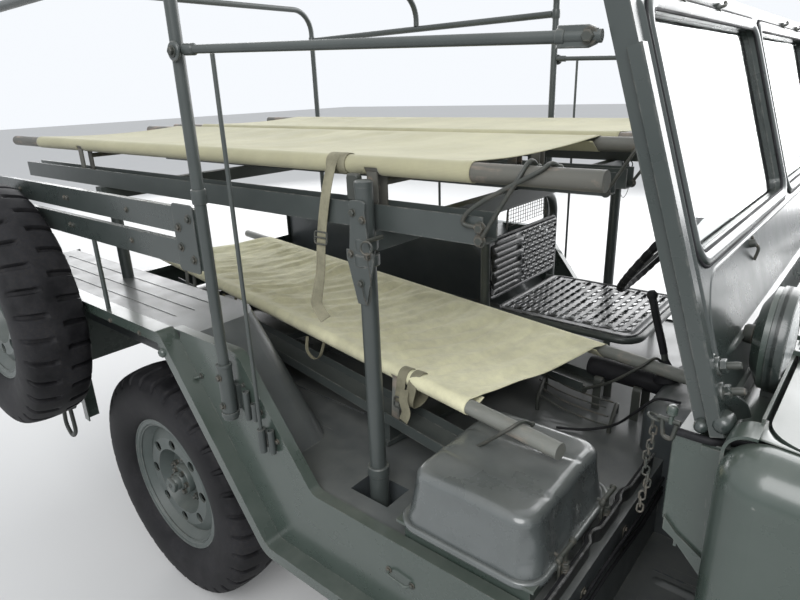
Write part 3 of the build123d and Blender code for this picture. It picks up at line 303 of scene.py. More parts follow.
def makeCanvas(name, faded, fresh):
    # Cotton duck: fine square weave from the cloth's own map, faded and soiled in patches
    material, tree, spot = newMaterial(name)
    cloth = addNode(tree, "ShaderNodeTexCoord").outputs["UV"]
    weave = calc(tree, "ADD", *(stripes(tree, cloth, 130.0, 0.6, 1.0, way) for way in ("X", "Y")))
    broad = remap(tree, noise(tree, spot, 3.5, 5.0, 0.6), 0.36, 0.66)
    blotch = remap(tree, noise(tree, spot, 16.0, 6.0, 0.68), 0.4, 0.72)
    base = mixColour(tree, broad, faded, fresh)
    base = mixColour(tree, calc(tree, "MULTIPLY", blotch, 0.35), base, (0.3, 0.285, 0.205, 1))
    base = mixColour(tree, remap(tree, weave, 0.2, 1.6, 0.1, 0.0), base, (0.18, 0.17, 0.12, 1))
    return dress(material, {"Base Color": base, "Normal": bump(tree, weave, 0.25, 0.0006), "Roughness": 0.85,
                            "Specular IOR Level": 0.25, "Sheen Weight": 0.15})


canvasCloth = makeCanvas("canvasCloth", (0.345, 0.328, 0.21, 1), (0.43, 0.41, 0.268, 1))
# Lower litter: the same cotton duck with its colours about twice as bright, as painted light that stands in for the
# light the upper litters shade off it
paintedLightLowerCloth = makeCanvas("paintedLightLowerCloth", (0.7, 0.672, 0.455, 1), (0.86, 0.828, 0.57, 1))


def makeWebbing(name):
    # Woven strap: fine twill across its width, faded khaki, soiled in patches
    material, tree, spot = newMaterial(name)
    twill = stripes(tree, spot, 160.0, 1.2, 2.0, "DIAGONAL")
    soiled = remap(tree, noise(tree, spot, 18.0, 6.0, 0.7), 0.42, 0.7)
    base = mixColour(tree, soiled, (0.27, 0.255, 0.18, 1), (0.15, 0.142, 0.098, 1))
    base = mixColour(tree, calc(tree, "MULTIPLY", twill, 0.3), base, (0.14, 0.13, 0.09, 1))
    return dress(material, {"Base Color": base, "Normal": bump(tree, twill, 0.35, 0.0006), "Roughness": 0.85,
                            "Specular IOR Level": 0.2})


webbing = makeWebbing("webbing")


def makeWood(name, painted, worn):
    # Painted wooden pole: long grain, the paint rubbed through to pinkish wood in streaks
    material, tree, spot = newMaterial(name)
    stretched = addNode(tree, "ShaderNodeMapping", {"Vector": spot, "Scale": (3.0, 60.0, 60.0)}).outputs["Vector"]
    streak = noise(tree, stretched, 1.0, 6.0, 0.65)
    patches = remap(tree, noise(tree, spot, 9.0, 5.0, 0.7), 0.5, 0.62)
    through = calc(tree, "MULTIPLY", patches, remap(tree, streak, 0.42, 0.58), clamp=True)
    base = mixColour(tree, through, painted, worn)
    base = mixColour(tree, remap(tree, streak, 0.3, 0.75, 0.3, 0.0), base, (0.06, 0.055, 0.04, 1))
    return dress(material, {"Base Color": base, "Normal": bump(tree, streak, 0.2, 0.001), "Roughness": 0.55})


poleWood = makeWood("poleWood", (0.105, 0.104, 0.09, 1), (0.26, 0.2, 0.155, 1))
# Lower poles: the same painted wood, about twice as light and greyer, as painted light for the lower poles, which are
# lit more than the upper ones
paintedLightPoleWood = makeWood("paintedLightPoleWood", (0.215, 0.222, 0.2, 1), (0.34, 0.29, 0.24, 1))


def makeGlass(name, tint=(0.9, 0.94, 0.92, 1)):
    # Flat safety glass with a light film of dust that darkens and roughens it in patches
    material, tree, spot = newMaterial(name)
    film = remap(tree, noise(tree, spot, 2.2, 6.0, 0.65), 0.38, 0.68)
    return dress(material, {
        "Base Color": mixColour(tree, film, tint, (0.74, 0.78, 0.76, 1)), "Transmission Weight": 1.0, "IOR": 1.45,
        "Roughness": remap(tree, noise(tree, spot, 4.0, 5.0), 0.45, 0.75, 0.0, 0.1)})


paneGlass = makeGlass("paneGlass")


def makeLens(name, colour, roughness=0.12):
    # Moulded lens: its flutes are in the shape, a little dust in the colour and the roughness
    material, tree, spot = newMaterial(name)
    film = remap(tree, noise(tree, spot, 30.0, 5.0, 0.65), 0.42, 0.7)
    return dress(material, {
        "Base Color": mixColour(tree, calc(tree, "MULTIPLY", film, 0.25), colour, (0.3, 0.29, 0.26, 1)),
        "Roughness": remap(tree, film, 0.0, 1.0, roughness, roughness + 0.2), "Coat Weight": 0.6,
        "Coat Roughness": 0.05})


lensGlass = makeLens("lensGlass", (0.5, 0.52, 0.52, 1))
redLens = makeLens("redLens", (0.3, 0.012, 0.01, 1))
amberLens = makeLens("amberLens", (0.5, 0.16, 0.015, 1))


def makeMirror(name):
    # Silvered glass with faint smears
    material, tree, spot = newMaterial(name)
    smear = remap(tree, noise(tree, spot, 14.0, 5.0, 0.7), 0.45, 0.75)
    return dress(material, {
        "Base Color": mixColour(tree, smear, (0.8, 0.82, 0.83, 1), (0.7, 0.71, 0.71, 1)),
        "Roughness": remap(tree, smear, 0.0, 1.0, 0.03, 0.16), "Metallic": 1.0})


mirrorGlass = makeMirror("mirrorGlass")
print("materials made")

# CAD nodes keep their shapes and take these finishes; all others are olive
finishes = {
    "framePaint": ["windshield_frame", "side_rails"],
    "paneGlass": ["windshield_glass"],
    "seatPaint": ["seat_panels", "steering_wheel", "steering_column"],
    "deckPaint": ["floor_tub", "wheelhouse_right", "wheelhouse_left"],
    "chassisPaint": ["underframe", "front_suspension", "rear_suspension", "propeller_shafts", "engine", "radiator",
                     "knuckle_right", "knuckle_left"],
    "tubePaint": ["main_bow", "rear_bow", "middle_bow", "roof_bars", "bow_sockets", "rack_posts", "seat_frame",
                  "lower_rack", "upper_rails"],
    "poleWood": ["upper_litter_right_poles", "upper_litter_left_poles"],
    # The lower poles take the lightened wood copy, painted light
    "paintedLightPoleWood": ["lower_litter_poles"],
    "wheelPaint": ["wheel_front_right", "wheel_front_left", "wheel_rear_right", "wheel_rear_left", "spare_wheel"],
}


def finishNodes():
    chosen = {node: bpy.data.materials[finish] for finish, nodes in finishes.items() for node in nodes}
    for name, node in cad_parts.items():
        for slot in node.material_slots:
            slot.material = chosen.get(name, olivePaint)


finishNodes()


# Directions of the model's frame
fore, aft, left, sky = (1, 0, 0), (-1, 0, 0), (0, 1, 0), (0, 0, 1)


# Shapes worked out as whole arrays
def turns(count):
    # Equal angles round a circle
    return np.arange(count) * 2 * np.pi / count


def units(vectors):
    # Every row brought to length 1
    return vectors / np.linalg.norm(vectors, axis=1)[:, None]


def runLength(points):
    # Distance walked along a line, at each of its points
    return np.concatenate([[0], np.cumsum(np.linalg.norm(np.diff(points, axis=0), axis=1))])


def smoothStep(value, low, high):
    # Eased ramp from 0 at low to 1 at high
    t = np.clip((value - low) / (high - low), 0, 1)
    return t * t * (3 - 2 * t)


def gridFaces(rows, columns, closeRows=False, closeColumns=False):
    # Quads between neighbours of a rows by columns grid of points, numbered row by row
    i, j = np.meshgrid(np.arange(rows if closeRows else rows - 1),
                       np.arange(columns if closeColumns else columns - 1), indexing="ij")
    nextI = (i + 1) % rows
    nextJ = (j + 1) % columns
    corners = [i * columns + j, nextI * columns + j, nextI * columns + nextJ, i * columns + nextJ]
    return np.stack(corners, -1).reshape(-1, 4)


def tubeFaces(rows, columns, first=True, last=True):
    # Quads of closed rings, with a face on the first and the last ring
    faces = list(gridFaces(rows, columns, False, True))
    faces += [range(columns)] if first else []
    return faces + ([range((rows - 1) * columns, rows * columns)] if last else [])


def joinShapes(shapes):
    # One list of points and faces from many, each face number moved past the points before it
    points, faces, start = [], [], 0
    for shapePoints, shapeFaces in shapes:
        points.append(np.asarray(shapePoints, float).reshape(-1, 3))
        faces.extend([tuple(int(k) + start for k in face) for face in shapeFaces])
        start += len(points[-1])
    return np.vstack(points), faces


def addPiece(name, shapes, material, body="body", autoAngle=40.0, replaces=()):
    points, faces = joinShapes(shapes)
    mesh = bpy.data.meshes.new(name)
    mesh.from_pydata(points.tolist(), [], faces)
    mesh.update()
    work = bmesh.new()
    work.from_mesh(mesh)
    bmesh.ops.remove_doubles(work, verts=work.verts, dist=1e-6)
    bmesh.ops.recalc_face_normals(work, faces=work.faces)
    work.to_mesh(mesh)
    work.free()
    mesh.materials.append(material)
    piece = bpy.data.objects.new(name, mesh)
    bpy.context.collection.objects.link(piece)
    mesh.shade_smooth()
    mesh.set_sharp_from_angle(angle=math.radians(autoAngle))
    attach(piece, body)
    if replaces:
        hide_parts(*replaces)
    return piece


def thicken(piece, thick, offset=-1.0):
    wall = piece.modifiers.new("wall", "SOLIDIFY")
    wall.thickness = thick
    wall.offset = offset


def frames(path):
    # Unit tangents along a path, and two normals carried along it without twist
    ahead = units(np.gradient(path, axis=0))
    side = np.zeros_like(path)
    first = np.cross(ahead[0], (0.0, 0.0, 1.0))
    if np.linalg.norm(first) < 0.1:
        first = np.cross(ahead[0], (1.0, 0.0, 0.0))
    side[0] = unit(first)
    # Each normal is the one before it less its part along the path, so this goes point by point
    for k in range(1, len(path)):
        side[k] = unit(side[k - 1] - ahead[k] * np.dot(side[k - 1], ahead[k]))
    return ahead, side, np.cross(ahead, side)


def sweepProfile(path, profile):
    # Each profile point (a, b) is carried along the path as path + a * side + b * top
    path = np.asarray(path, float)
    profile = np.asarray(profile, float)
    _, side, top = frames(path)
    points = (path[:, None, :] + profile[None, :, 0, None] * side[:, None, :]
              + profile[None, :, 1, None] * top[:, None, :])
    return points.reshape(-1, 3), tubeFaces(len(path), len(profile))


def circle(radius, count=12):
    # Points at equal angles on a circle
    return np.column_stack([radius * np.cos(turns(count)), radius * np.sin(turns(count))])


def bentPath(corners, radius, steps=6):
    # A path through corner points, each inner corner replaced by a quadratic arc of about that radius
    corners = np.asarray(corners, float)
    path = [corners[0]]
    t = np.linspace(0, 1, steps)[:, None]
    for before, here, after in zip(corners[:-2], corners[1:-1], corners[2:]):
        toBefore = before - here
        toAfter = after - here
        cut = min(radius, 0.45 * np.linalg.norm(toBefore), 0.45 * np.linalg.norm(toAfter))
        start = here + toBefore / np.linalg.norm(toBefore) * cut
        end = here + toAfter / np.linalg.norm(toAfter) * cut
        path.extend((1 - t) ** 2 * start + 2 * t * (1 - t) * here + t ** 2 * end)
    path.append(corners[-1])
    return np.array(path)


def curve(points, count=40, beyond=None):
    # Smooth line through given points: cubic pieces whose slope at a point joins its neighbours
    points = np.asarray(points, float)
    last = 2 * points[-1] - points[-2] if beyond is None else beyond
    padded = np.vstack([2 * points[0] - points[1], points, last])
    t = np.linspace(0, len(points) - 1, count)
    k = np.clip(t.astype(int), 0, len(points) - 2)
    f = (t - k)[:, None]
    p0, p1, p2, p3 = padded[k], padded[k + 1], padded[k + 2], padded[k + 3]
    return 0.5 * (2 * p1 + (p2 - p0) * f + (2 * p0 - 5 * p1 + 4 * p2 - p3) * f ** 2
                  + (3 * p1 - p0 - 3 * p2 + p3) * f ** 3)


def spread(points, count):
    # The same line with evenly spaced points
    points = np.asarray(points, float)
    along = runLength(points)
    wanted = np.linspace(0, along[-1], count)
    return np.column_stack([np.interp(wanted, along, points[:, k]) for k in range(points.shape[1])])


def rod(corners, radius, bend=0.03, sides=10):
    # A round bar that follows bent corners
    return sweepProfile(bentPath(corners, bend) if len(corners) > 2 else corners, circle(radius, sides))


def wire(points, radius, count, sides=8):
    # A round wire on a smooth line through given points
    return sweepProfile(curve(points, count), circle(radius, sides))


def mirrored(points, side):
    # The same points, or with left and right exchanged where side is -1
    return np.array(points) * (1, side, 1)


def basis(axis):
    # Two unit vectors across an axis, and the axis itself
    axis = unit(axis)
    across = unit(np.cross((0.0, 0.0, 1.0) if abs(axis[2]) < 0.9 else (1.0, 0.0, 0.0), axis))
    return across, np.cross(axis, across), axis


def lathe(profile, centre, axis, count=32):
    # Profile points (radius, height) turned round an axis through the centre
    profile = np.asarray(profile, float)
    a, b, c = basis(axis)
    angle = turns(count)
    ring = np.cos(angle)[:, None] * a + np.sin(angle)[:, None] * b
    points = (np.asarray(centre, float) + profile[:, None, 0, None] * ring[None, :, :]
              + profile[:, None, 1, None] * c)
    return points.reshape(-1, 3), gridFaces(len(profile), count, False, True)


def collar(centre, axis, inner, outer, half, ease, count, step=0.002):
    # Turned sleeve whose outer edges are eased by so much in radius and in height
    return lathe([(inner, -half), (outer - ease, -half), (outer, step - half), (outer, half - step),
                  (outer - ease, half), (inner, half)], centre, axis, count)


def disc(centre, axis, radius, height, count=32, round=0.0015):
    # Turned button: flat face with an eased edge
    return lathe([(0.0001, height), (radius - round, height), (radius - 0.3 * round, height - 0.3 * round),
                  (radius, height - round), (radius, 0.0)], centre, axis, count)


def slab(outline, centre, axis, thick, bevel=0.0, across=None):
    # An outline in a plane across the axis, given thickness along it and slightly smaller at both ends
    outline = np.asarray(outline, float)
    a, b, c = basis(axis)
    if across is not None:
        a = unit(across)
        b = np.cross(c, a)
    middle = outline.mean(0)
    shrink = 1 - bevel / np.abs(outline - middle).max()
    layers = []
    for scale, height in ((shrink, 0.0), (1.0, bevel), (1.0, thick - bevel), (shrink, thick)):
        flat = middle + (outline - middle) * scale
        layers.append(np.asarray(centre, float) + flat[:, :1] * a + flat[:, 1:] * b + height * c)
    return np.vstack(layers), tubeFaces(len(layers), len(outline))


def roundedRectangle(width, height, radius, steps=5):
    # Quarter arcs at the four corners of a rectangle about the origin
    turn = np.linspace(0, np.pi / 2, steps)
    points = []
    for k, (sx, sy) in enumerate(((1, 1), (-1, 1), (-1, -1), (1, -1))):
        angle = turn + k * np.pi / 2
        points.append(np.column_stack([sx * (width / 2 - radius) + radius * np.cos(angle),
                                       sy * (height / 2 - radius) + radius * np.sin(angle)]))
    return np.vstack(points)


def plate(width, height, radius, steps, *place, **more):
    # Slab with a rounded rectangle as its outline
    return slab(roundedRectangle(width, height, radius, steps), *place, **more)


def boltHead(centre, axis, radius=0.009, height=0.006, washer=0.0):
    # A six-sided head with eased edges, on a round washer if asked
    shapes = []
    foot = np.asarray(centre, float)
    if washer:
        shapes.append(slab(circle(washer, 18), foot, axis, 0.0018, 0.0004))
        foot = foot + basis(axis)[2] * 0.0018
    shapes.append(slab(circle(radius, 6), foot, axis, height, 0.0012))
    return joinShapes(shapes)


def boltHeads(places, axis, *size):
    return [boltHead(place, axis, *size) for place in places]


def onPanel(origin, across, up):
    # Places points given by distances across, up and out from a flat panel
    across, up = unit(across), unit(up)
    out = np.cross(across, up)

    def place(u, v, h):
        u, v, h = np.broadcast_arrays(u, v, h)
        return np.asarray(origin, float) + u[..., None] * across + v[..., None] * up + h[..., None] * out
    return place


def trimRing(outline, profile, place):
    # Closed profile (outwards, height) carried round a closed outline that runs against the clock
    ahead = units(np.roll(outline, -1, 0) - np.roll(outline, 1, 0))
    profile = np.asarray(profile, float)
    u = outline[:, 0, None] + profile[None, :, 0] * ahead[:, 1, None]
    v = outline[:, 1, None] - profile[None, :, 0] * ahead[:, 0, None]
    return place(u, v, profile[None, :, 1]).reshape(-1, 3), gridFaces(len(outline), len(profile), True, True)


def pressedRib(path, width, height, place, taper=0.02, columns=9, sink=0.0006):
    # Soft ridge along a line on a panel: cosine squared across it, eased to nothing at both ends
    path = np.asarray(path, float)
    ahead = units(np.gradient(path, axis=0))
    run = runLength(path)
    fade = smoothStep(run, 0, taper) * smoothStep(run[-1] - run, 0, taper)
    t = np.linspace(-0.5, 0.5, columns)
    u = path[:, 0, None] - t * width * ahead[:, 1, None]
    v = path[:, 1, None] + t * width * ahead[:, 0, None]
    h = height * fade[:, None] * np.cos(np.pi * t) ** 2 - sink
    return place(u, v, h).reshape(-1, 3), gridFaces(len(path), columns)


def straightRib(low, high, count, level, width, height, place, taper=0.02, columns=9, upright=False):
    # Pressed rib from low to high on a panel, at one level across it, or upright
    line = [np.linspace(low, high, count), np.full(count, float(level))]
    return pressedRib(np.column_stack(line[::-1] if upright else line), width, height, place, taper, columns)


def ribbon(path, broad, width, thick=0.0022, edge=0.4):
    # Strap: flat rounded section carried along a path, its broad side kept along one direction
    path = np.asarray(path, float)
    ahead = units(np.gradient(path, axis=0))
    broad = np.broadcast_to(np.asarray(broad, float), path.shape)
    broad = units(broad - ahead * (broad * ahead).sum(1)[:, None])
    face = np.cross(ahead, broad)
    t = np.linspace(-1, 1, 9)
    bulge = (1 - edge) + edge * np.sqrt(np.clip(1 - t ** 4, 0, 1))
    section = np.vstack([np.column_stack([t, bulge]), np.column_stack([t[::-1], -bulge[::-1]])])
    points = (path[:, None, :] + section[None, :, 0, None] * broad[:, None, :] * width / 2
              + section[None, :, 1, None] * face[:, None, :] * thick / 2)
    return points.reshape(-1, 3), tubeFaces(len(path), len(section))


def ringPath(centre, axis, radius, count=28):
    # Circle about an axis
    a, b, _ = basis(axis)
    angle = np.radians(np.linspace(0.0, 360.0, count, endpoint=False))[:, None]
    return np.asarray(centre, float) + radius * (np.cos(angle) * a + np.sin(angle) * b)


def oval(centre, along, across, length, width, thick, count=26, sides=8):
    # Closed ring of round wire, drawn out along one direction to a chain link where it is longer than wide
    along = unit(along)
    across = np.asarray(across, float)
    across = unit(across - along * np.dot(across, along))
    turn = turns(count)
    out = np.cos(turn)[:, None] * along + np.sin(turn)[:, None] * across
    straight = (length - width) / 2
    line = (np.asarray(centre, float) + (np.cos(turn) * width / 2 + np.sign(np.cos(turn)) * straight)[:, None] * along
            + (np.sin(turn) * width / 2)[:, None] * across)
    small = turns(sides)
    points = (line[:, None, :] + (thick * np.cos(small))[None, :, None] * out[:, None, :]
              + (thick * np.sin(small))[None, :, None] * np.cross(along, across))
    return points.reshape(-1, 3), gridFaces(count, sides, True, True)


def wireRing(centre, axis, radius, thick, count=28, sides=8):
    # Torus about an axis
    a, b, _ = basis(axis)
    return oval(centre, a, b, 2 * radius, 2 * radius, thick, count, sides)


def eachWheel(kind):
    # Name, CAD node, body and centre of every wheel or tyre
    for name in ("front_right", "front_left", "rear_right", "rear_left", "spare"):
        spare = name == "spare"
        node = "spare_" + kind if spare else kind + "_" + name
        low, high = (np.array(corner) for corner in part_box(node))
        yield name, node, "body" if spare else "wheel_" + name, (low + high) / 2


# Tyres: carcass of turned outline with slots cut from both shoulders, not crossing the solid middle
tyre = {
    "radius": 0.384,
    "halfWidth": 0.094,
    "slotCount": 33,
    "slotWidth": 0.017,
    "slotDepth": 0.013,
    "slotInner": 0.015,   # where a slot ends beside the middle
    "slotOuterRadius": 0.35,
    "slotMarks": (-0.62, -0.5, -0.3, 0.3, 0.5, 0.62),   # rows of points at a slot, in slot widths
    "slant": 0.16,        # how far a slot's outer end is turned on, in slot pitches
    "outline": ((0.0597, 0.2123), (0.0597, 0.2223), (0.064, 0.2232), (0.074, 0.233), (0.085, 0.254),
                (0.0915, 0.28), (0.094, 0.308), (0.0925, 0.333), (0.0875, 0.354), (0.079, 0.368),
                (0.066, 0.3755), (0.045, 0.3805), (0.02, 0.3835), (0.0, 0.384)),
}


def tyreShape(settings):
    # Points (angle, outline place): the radius loses the slot depth where a row's slot mask is 1
    half = np.array(settings["outline"])
    side = np.vstack([half[:2], curve(half[2:], 34, beyond=half[-2] * (-1, 1))])
    y, r = np.vstack([side, (side * (-1, 1))[::-1][1:]]).T
    count = settings["slotCount"]
    pitch = 2 * np.pi / count
    width = settings["slotWidth"] / settings["radius"]
    marks = np.array(settings["slotMarks"]) * width
    between = np.linspace(0.62 * width, pitch / 2 - 0.62 * width, 4)[1:-1]
    cell = np.concatenate([marks, between, marks + pitch / 2, between + pitch / 2])
    angle = (np.arange(count)[:, None] * pitch + cell[None, :]).ravel()
    theta = angle[:, None] + settings["slant"] * pitch * (np.abs(y) / settings["halfWidth"]) ** 2 * np.sign(y)
    inPitch = (angle[:, None] + pitch / 2) % pitch - pitch / 2
    inOther = angle[:, None] % pitch - pitch / 2
    row = np.where(y[None, :] > 0, inPitch, inOther)
    slotMask = smoothStep(-np.abs(row), -width * 0.56, -width * 0.36)
    lengthways = smoothStep(np.abs(y), settings["slotInner"], settings["slotInner"] + 0.008)
    depthFade = smoothStep(r, settings["slotOuterRadius"] - 0.012, settings["slotOuterRadius"] + 0.012)
    cut = settings["slotDepth"] * slotMask * lengthways * depthFade
    inward = units(np.column_stack([-y * 0.35, -np.ones_like(r)]))
    rCut = r + cut * inward[:, 1]
    points = np.stack([rCut * np.sin(theta), y + cut * inward[:, 0], rCut * np.cos(theta)], -1)
    return points, gridFaces(len(angle), len(y), True, True)


def addTyres(settings):
    points, faces = tyreShape(settings)
    for name, node, body, centre in eachWheel("tyre"):
        placed = points * (1.0, -1.0 if "left" in name else 1.0, 1.0) + centre
        addPiece("tread_" + name, [(placed, faces)], tyreRubber, body, 50.0, (node,))


addTyres(tyre)
print("tyres made")


def clothPiece(name, grid, across, lengths, material, keep):
    # A sheet from a grid of points, less the faces not kept; its own map runs in metres along and across the cloth
    faces = gridFaces(*grid.shape[:2])[keep.ravel()]
    mesh = bpy.data.meshes.new(name)
    mesh.from_pydata(grid.reshape(-1, 3).tolist(), [], faces.tolist())
    layer = mesh.uv_layers.new(name="cloth")
    corner = np.empty(len(mesh.loops), dtype=np.int64)
    mesh.loops.foreach_get("vertex_index", corner)
    flat = np.stack(np.broadcast_arrays(lengths[:, None], across[None, :]), -1).reshape(-1, 2)
    layer.data.foreach_set("uv", flat[corner].astype(np.float32).ravel())
    mesh.materials.append(material)
    mesh.validate()
    mesh.shade_smooth()
    piece = bpy.data.objects.new(name, mesh)
    bpy.context.collection.objects.link(piece)
    thicken(piece, cloth["thick"], 0.0)
    return piece


def ripple(along, across, waves, seed):
    # Sum of sine folds; each has its own length, slant, place and reach, taken from a fixed seed
    chance = np.random.default_rng(seed)
    total = np.zeros(np.broadcast(along, across).shape)
    for length, height, reach, count in waves:
        centre = chance.uniform(0.0, 1.0, count)
        slant = chance.uniform(-0.35, 0.35, count)
        span = chance.uniform(0.6, 1.5, count)
        shift = chance.uniform(0, 2 * np.pi, count)
        for c, a, w, f in zip(centre, slant, span, shift):
            place = along + a * across
            near = np.exp(-((place - c * cloth["length"]) / (reach * w)) ** 2)
            total += height * w * near * np.sin(2 * np.pi * place / (length * w) + f)
    return total


# Litters: pole ends as built, near and far pole of each, front to rear, and how the cloth hangs between them;
# each row of folds gives their length, height, reach and count
upperFolds = ((0.16, 0.0016, 0.3, 6), (0.05, 0.0005, 0.25, 6))
litters = {
    "upper_litter_right": {"near": ((0.435, -0.604, 1.41), (-1.855, -0.604, 1.41)), "far": (0.435, -0.064, 1.41),
                           "sag": 0.016, "folds": upperFolds, "edge": 0.35},
    "upper_litter_left": {"near": ((0.435, 0.064, 1.41), (-1.855, 0.064, 1.41)), "far": (0.435, 0.604, 1.41),
                          "sag": 0.014, "folds": upperFolds, "edge": 0.35},
    "lower_litter": {"near": ((0.374, -0.564, 0.898), (-1.885, -0.188, 0.905)), "far": (0.462, -0.033, 0.856),
                     "sag": 0.024, "folds": ((0.11, 0.0034, 0.22, 11), (0.055, 0.0022, 0.13, 18),
                                             (0.03, 0.0011, 0.1, 16), (0.046, 0.0019, 0.17, 28)), "edge": 0.6},
}
cloth = {
    "thick": 0.0014,
    "poleRadius": 0.017,
    "gap": 0.0011,
    "poleLength": 2.29,
    "length": 1.83,
    "rows": 190,
    "sleeveStart": -2.35,    # angle round the pole where the sleeve's return comes in, in radians
    "seamInset": 0.046,      # how far inside the pole the sleeve is stitched to the sheet
    "seamDrop": 0.0062,
    "stirrupPlaces": (0.455, 1.725),
    "stirrupHalf": 0.017,
    "hem": 0.03,
    "hemHeight": 0.0007,
    "drawnIn": 0.012,
}


def litterCloth(litter, settings, seed):
    # Across: sleeve round one pole, sheet with a sine sag, sleeve round the other; along: straight, with folds
    origin = np.array(litter["near"][0])
    forward = unit(origin - litter["near"][1])
    side = np.array(litter["far"]) - origin
    width = np.linalg.norm(side)
    side = side / width
    up = np.cross(forward, side)
    radius = settings["poleRadius"] + settings["gap"]
    turn = np.linspace(settings["sleeveStart"], 1.5708, 15)
    sleeve = radius * np.column_stack([np.cos(np.pi - turn), np.sin(np.pi - turn)])
    under = np.linspace(0.0, 1.0, 5)[:-1]
    start = np.array([settings["seamInset"], radius - settings["seamDrop"]])
    near = np.vstack([start + (sleeve[0] - start) * under[:, None], sleeve])
    t = np.linspace(0, 1, 58)[1:-1]
    middle = np.column_stack([t * width, np.full_like(t, radius)])
    outline = np.vstack([near, middle, near[::-1] * (-1, 1) + (width, 0)])
    arc = runLength(outline)
    length = settings["length"]
    startAlong = (settings["poleLength"] - length) / 2
    stirrups = np.array(settings["stirrupPlaces"]) - startAlong
    half = settings["stirrupHalf"]
    marks = np.concatenate([stirrups - half, stirrups + half])
    rows = np.linspace(0, length, settings["rows"])
    clear = np.abs(rows[:, None] - marks).min(1) > 0.004
    rows = np.unique(np.concatenate([rows[clear], marks]))
    inSheet = np.clip(outline[:, 0] / width, 0, 1)
    onTop = outline[:, 1] > radius - 1e-5
    bow = 4 * inSheet * (1 - inSheet)
    endLift = 1 - 0.35 * np.exp(-(rows / 0.1) ** 2) - 0.35 * np.exp(-((length - rows) / 0.1) ** 2)
    hang = -litter["sag"] * bow[None, :] * endLift[:, None]
    folds = ripple(rows[:, None], outline[None, :, 0], litter["folds"], seed)
    calm = smoothStep(inSheet, 0.02, 0.1) * smoothStep(-inSheet, -0.98, -0.9)
    nearEdge = litter["edge"] + (1 - litter["edge"]) * np.abs(2 * inSheet - 1)
    hang += folds * (calm * nearEdge)[None, :]
    hem = settings["hem"]
    hemmed = smoothStep(-rows, -hem, 0.004 - hem) + smoothStep(rows, length - hem, length - hem + 0.004)
    hang += settings["hemHeight"] * hemmed[:, None]
    # The sewn-down return of a sleeve follows the sheet above it, less and less towards the pole
    nearShare = np.concatenate([1 - under, np.zeros(len(turn))])
    nearShare[-1] = 1.0
    hang *= np.concatenate([nearShare, np.ones(len(t)), nearShare[::-1]])
    drawn = settings["drawnIn"] * bow * (np.exp(-rows / 0.06) - np.exp(-(length - rows) / 0.06))[:, None]
    along = -(startAlong + rows)[:, None] - np.where(onTop[None, :], drawn, 0)
    grid = (origin + along[..., None] * forward + outline[None, :, 0, None] * side
            + (outline[None, :, 1] + hang)[..., None] * up)
    mids = (rows[1:] + rows[:-1]) / 2
    cut = np.abs(mids[:, None] - stirrups).min(1) < half
    low = (outline[1:, 1] + outline[:-1, 1]) / 2 < -0.004
    return grid, arc, rows, ~(cut[:, None] & low[None, :])


def addLitterCloths():
    for number, (name, litter) in enumerate(litters.items()):
        grid, arc, rows, keep = litterCloth(litter, cloth, 20 + number)
        # The lower litter takes the brightened canvas copy, painted light against the upper litters' shade
        duck = paintedLightLowerCloth if name == "lower_litter" else canvasCloth
        piece = clothPiece(name + "_cloth", grid, arc, rows, duck, keep)
        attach(piece, "body")
        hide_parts(name + "_canvas")


addLitterCloths()
print("litter cloths made")


# Windshield: frames and seals round the panes, pressed ribs, post channels, hinge brackets
windshield = {
    "foot": (0.64, 0.0, 1.1029),
    "lean": 17.7,
    "face": 0.015,          # from the middle of the frame to either face
    "halfWidth": 0.706,
    "paneMiddle": (0.332, 0.393),
    "paneSize": (0.636, 0.338),
    "paneCorner": 0.034,
    "ringHalf": 0.0095,
    "ringHeight": 0.0062,
    # half length, points, level, width, height and taper of each level rib
    "levelRibs": ((0.619, 120, 0.082, 0.017, 0.006, 0.03), (0.652, 60, 0.024, 0.014, 0.0055, 0.008),
                  (0.69, 80, 0.583, 0.02, 0.006, 0.01)),
    "outlineRib": ((-0.655, 0.045, 0), (-0.655, 0.15, 0), (-0.612, 0.2, 0), (0.612, 0.2, 0), (0.655, 0.15, 0),
                   (0.655, 0.045, 0)),
    "postLip": ((0.0, 0.0135), (0.0062, 0.0135), (0.007, 0.0125), (0.007, -0.0042), (0.0055, -0.0058),
                (-0.012, -0.0058), (-0.0145, -0.0035), (-0.0145, 0.001), (-0.01, 0.001), (0.0, 0.001)),
    "hooks": (-0.5, -0.3, 0.3, 0.5),
    "hookLevel": 0.576,
    # out from the glass, to the left and upwards, at each point of a wire
    "hookWire": ((0.004, 0, 0), (0.01, 0.003, 0), (0.012, 0.012, 0.002), (0.009, 0.018, 0.008)),
    "spindle": (0.378, 0.19),
    "spindleWire": ((0.008, 0, 0), (0.014, 0.004, -0.012), (0.01, 0.006, -0.03)),
    "spindleStop": (0.355, 0.196),
    "footPlate": ((-0.014, -0.004), (0.014, -0.006), (0.017, 0.03), (0.013, 0.074), (0.006, 0.094),
                  (-0.006, 0.096), (-0.013, 0.078), (-0.016, 0.03), (-0.014, -0.004)),
    "footPlace": (0.684, 0.012),
    "footNuts": ((0.078, 0.004), (0.045, -0.002)),
    "stud": ((0.0052, 0.0), (0.0052, 0.022), (0.004, 0.0245), (0.0001, 0.0245)),
    "arm": ((0.64, 0.694, 1.166), (0.652, 0.682, 1.152), (0.66, 0.664, 1.136), (0.664, 0.65, 1.116)),
    "pin": ((0.0001, 0.03), (0.007, 0.0285), (0.0115, 0.0245), (0.013, 0.019), (0.013, 0.0), (0.0001, 0.0)),
    # place and scale of each hinge pin
    "pins": (((0.652, 0.688, 1.128), (1, 1)), ((0.628, 0.692, 1.118), (0.72, 0.9))),
}


def glassPlane(settings, back=False):
    lean = math.radians(settings["lean"])
    out = np.array([math.cos(lean), 0.0, math.sin(lean)])
    side = -1 if back else 1
    foot = np.array(settings["foot"]) + side * out * settings["face"]
    return onPanel(foot, (0, side, 0), (-math.sin(lean), 0.0, math.cos(lean)))


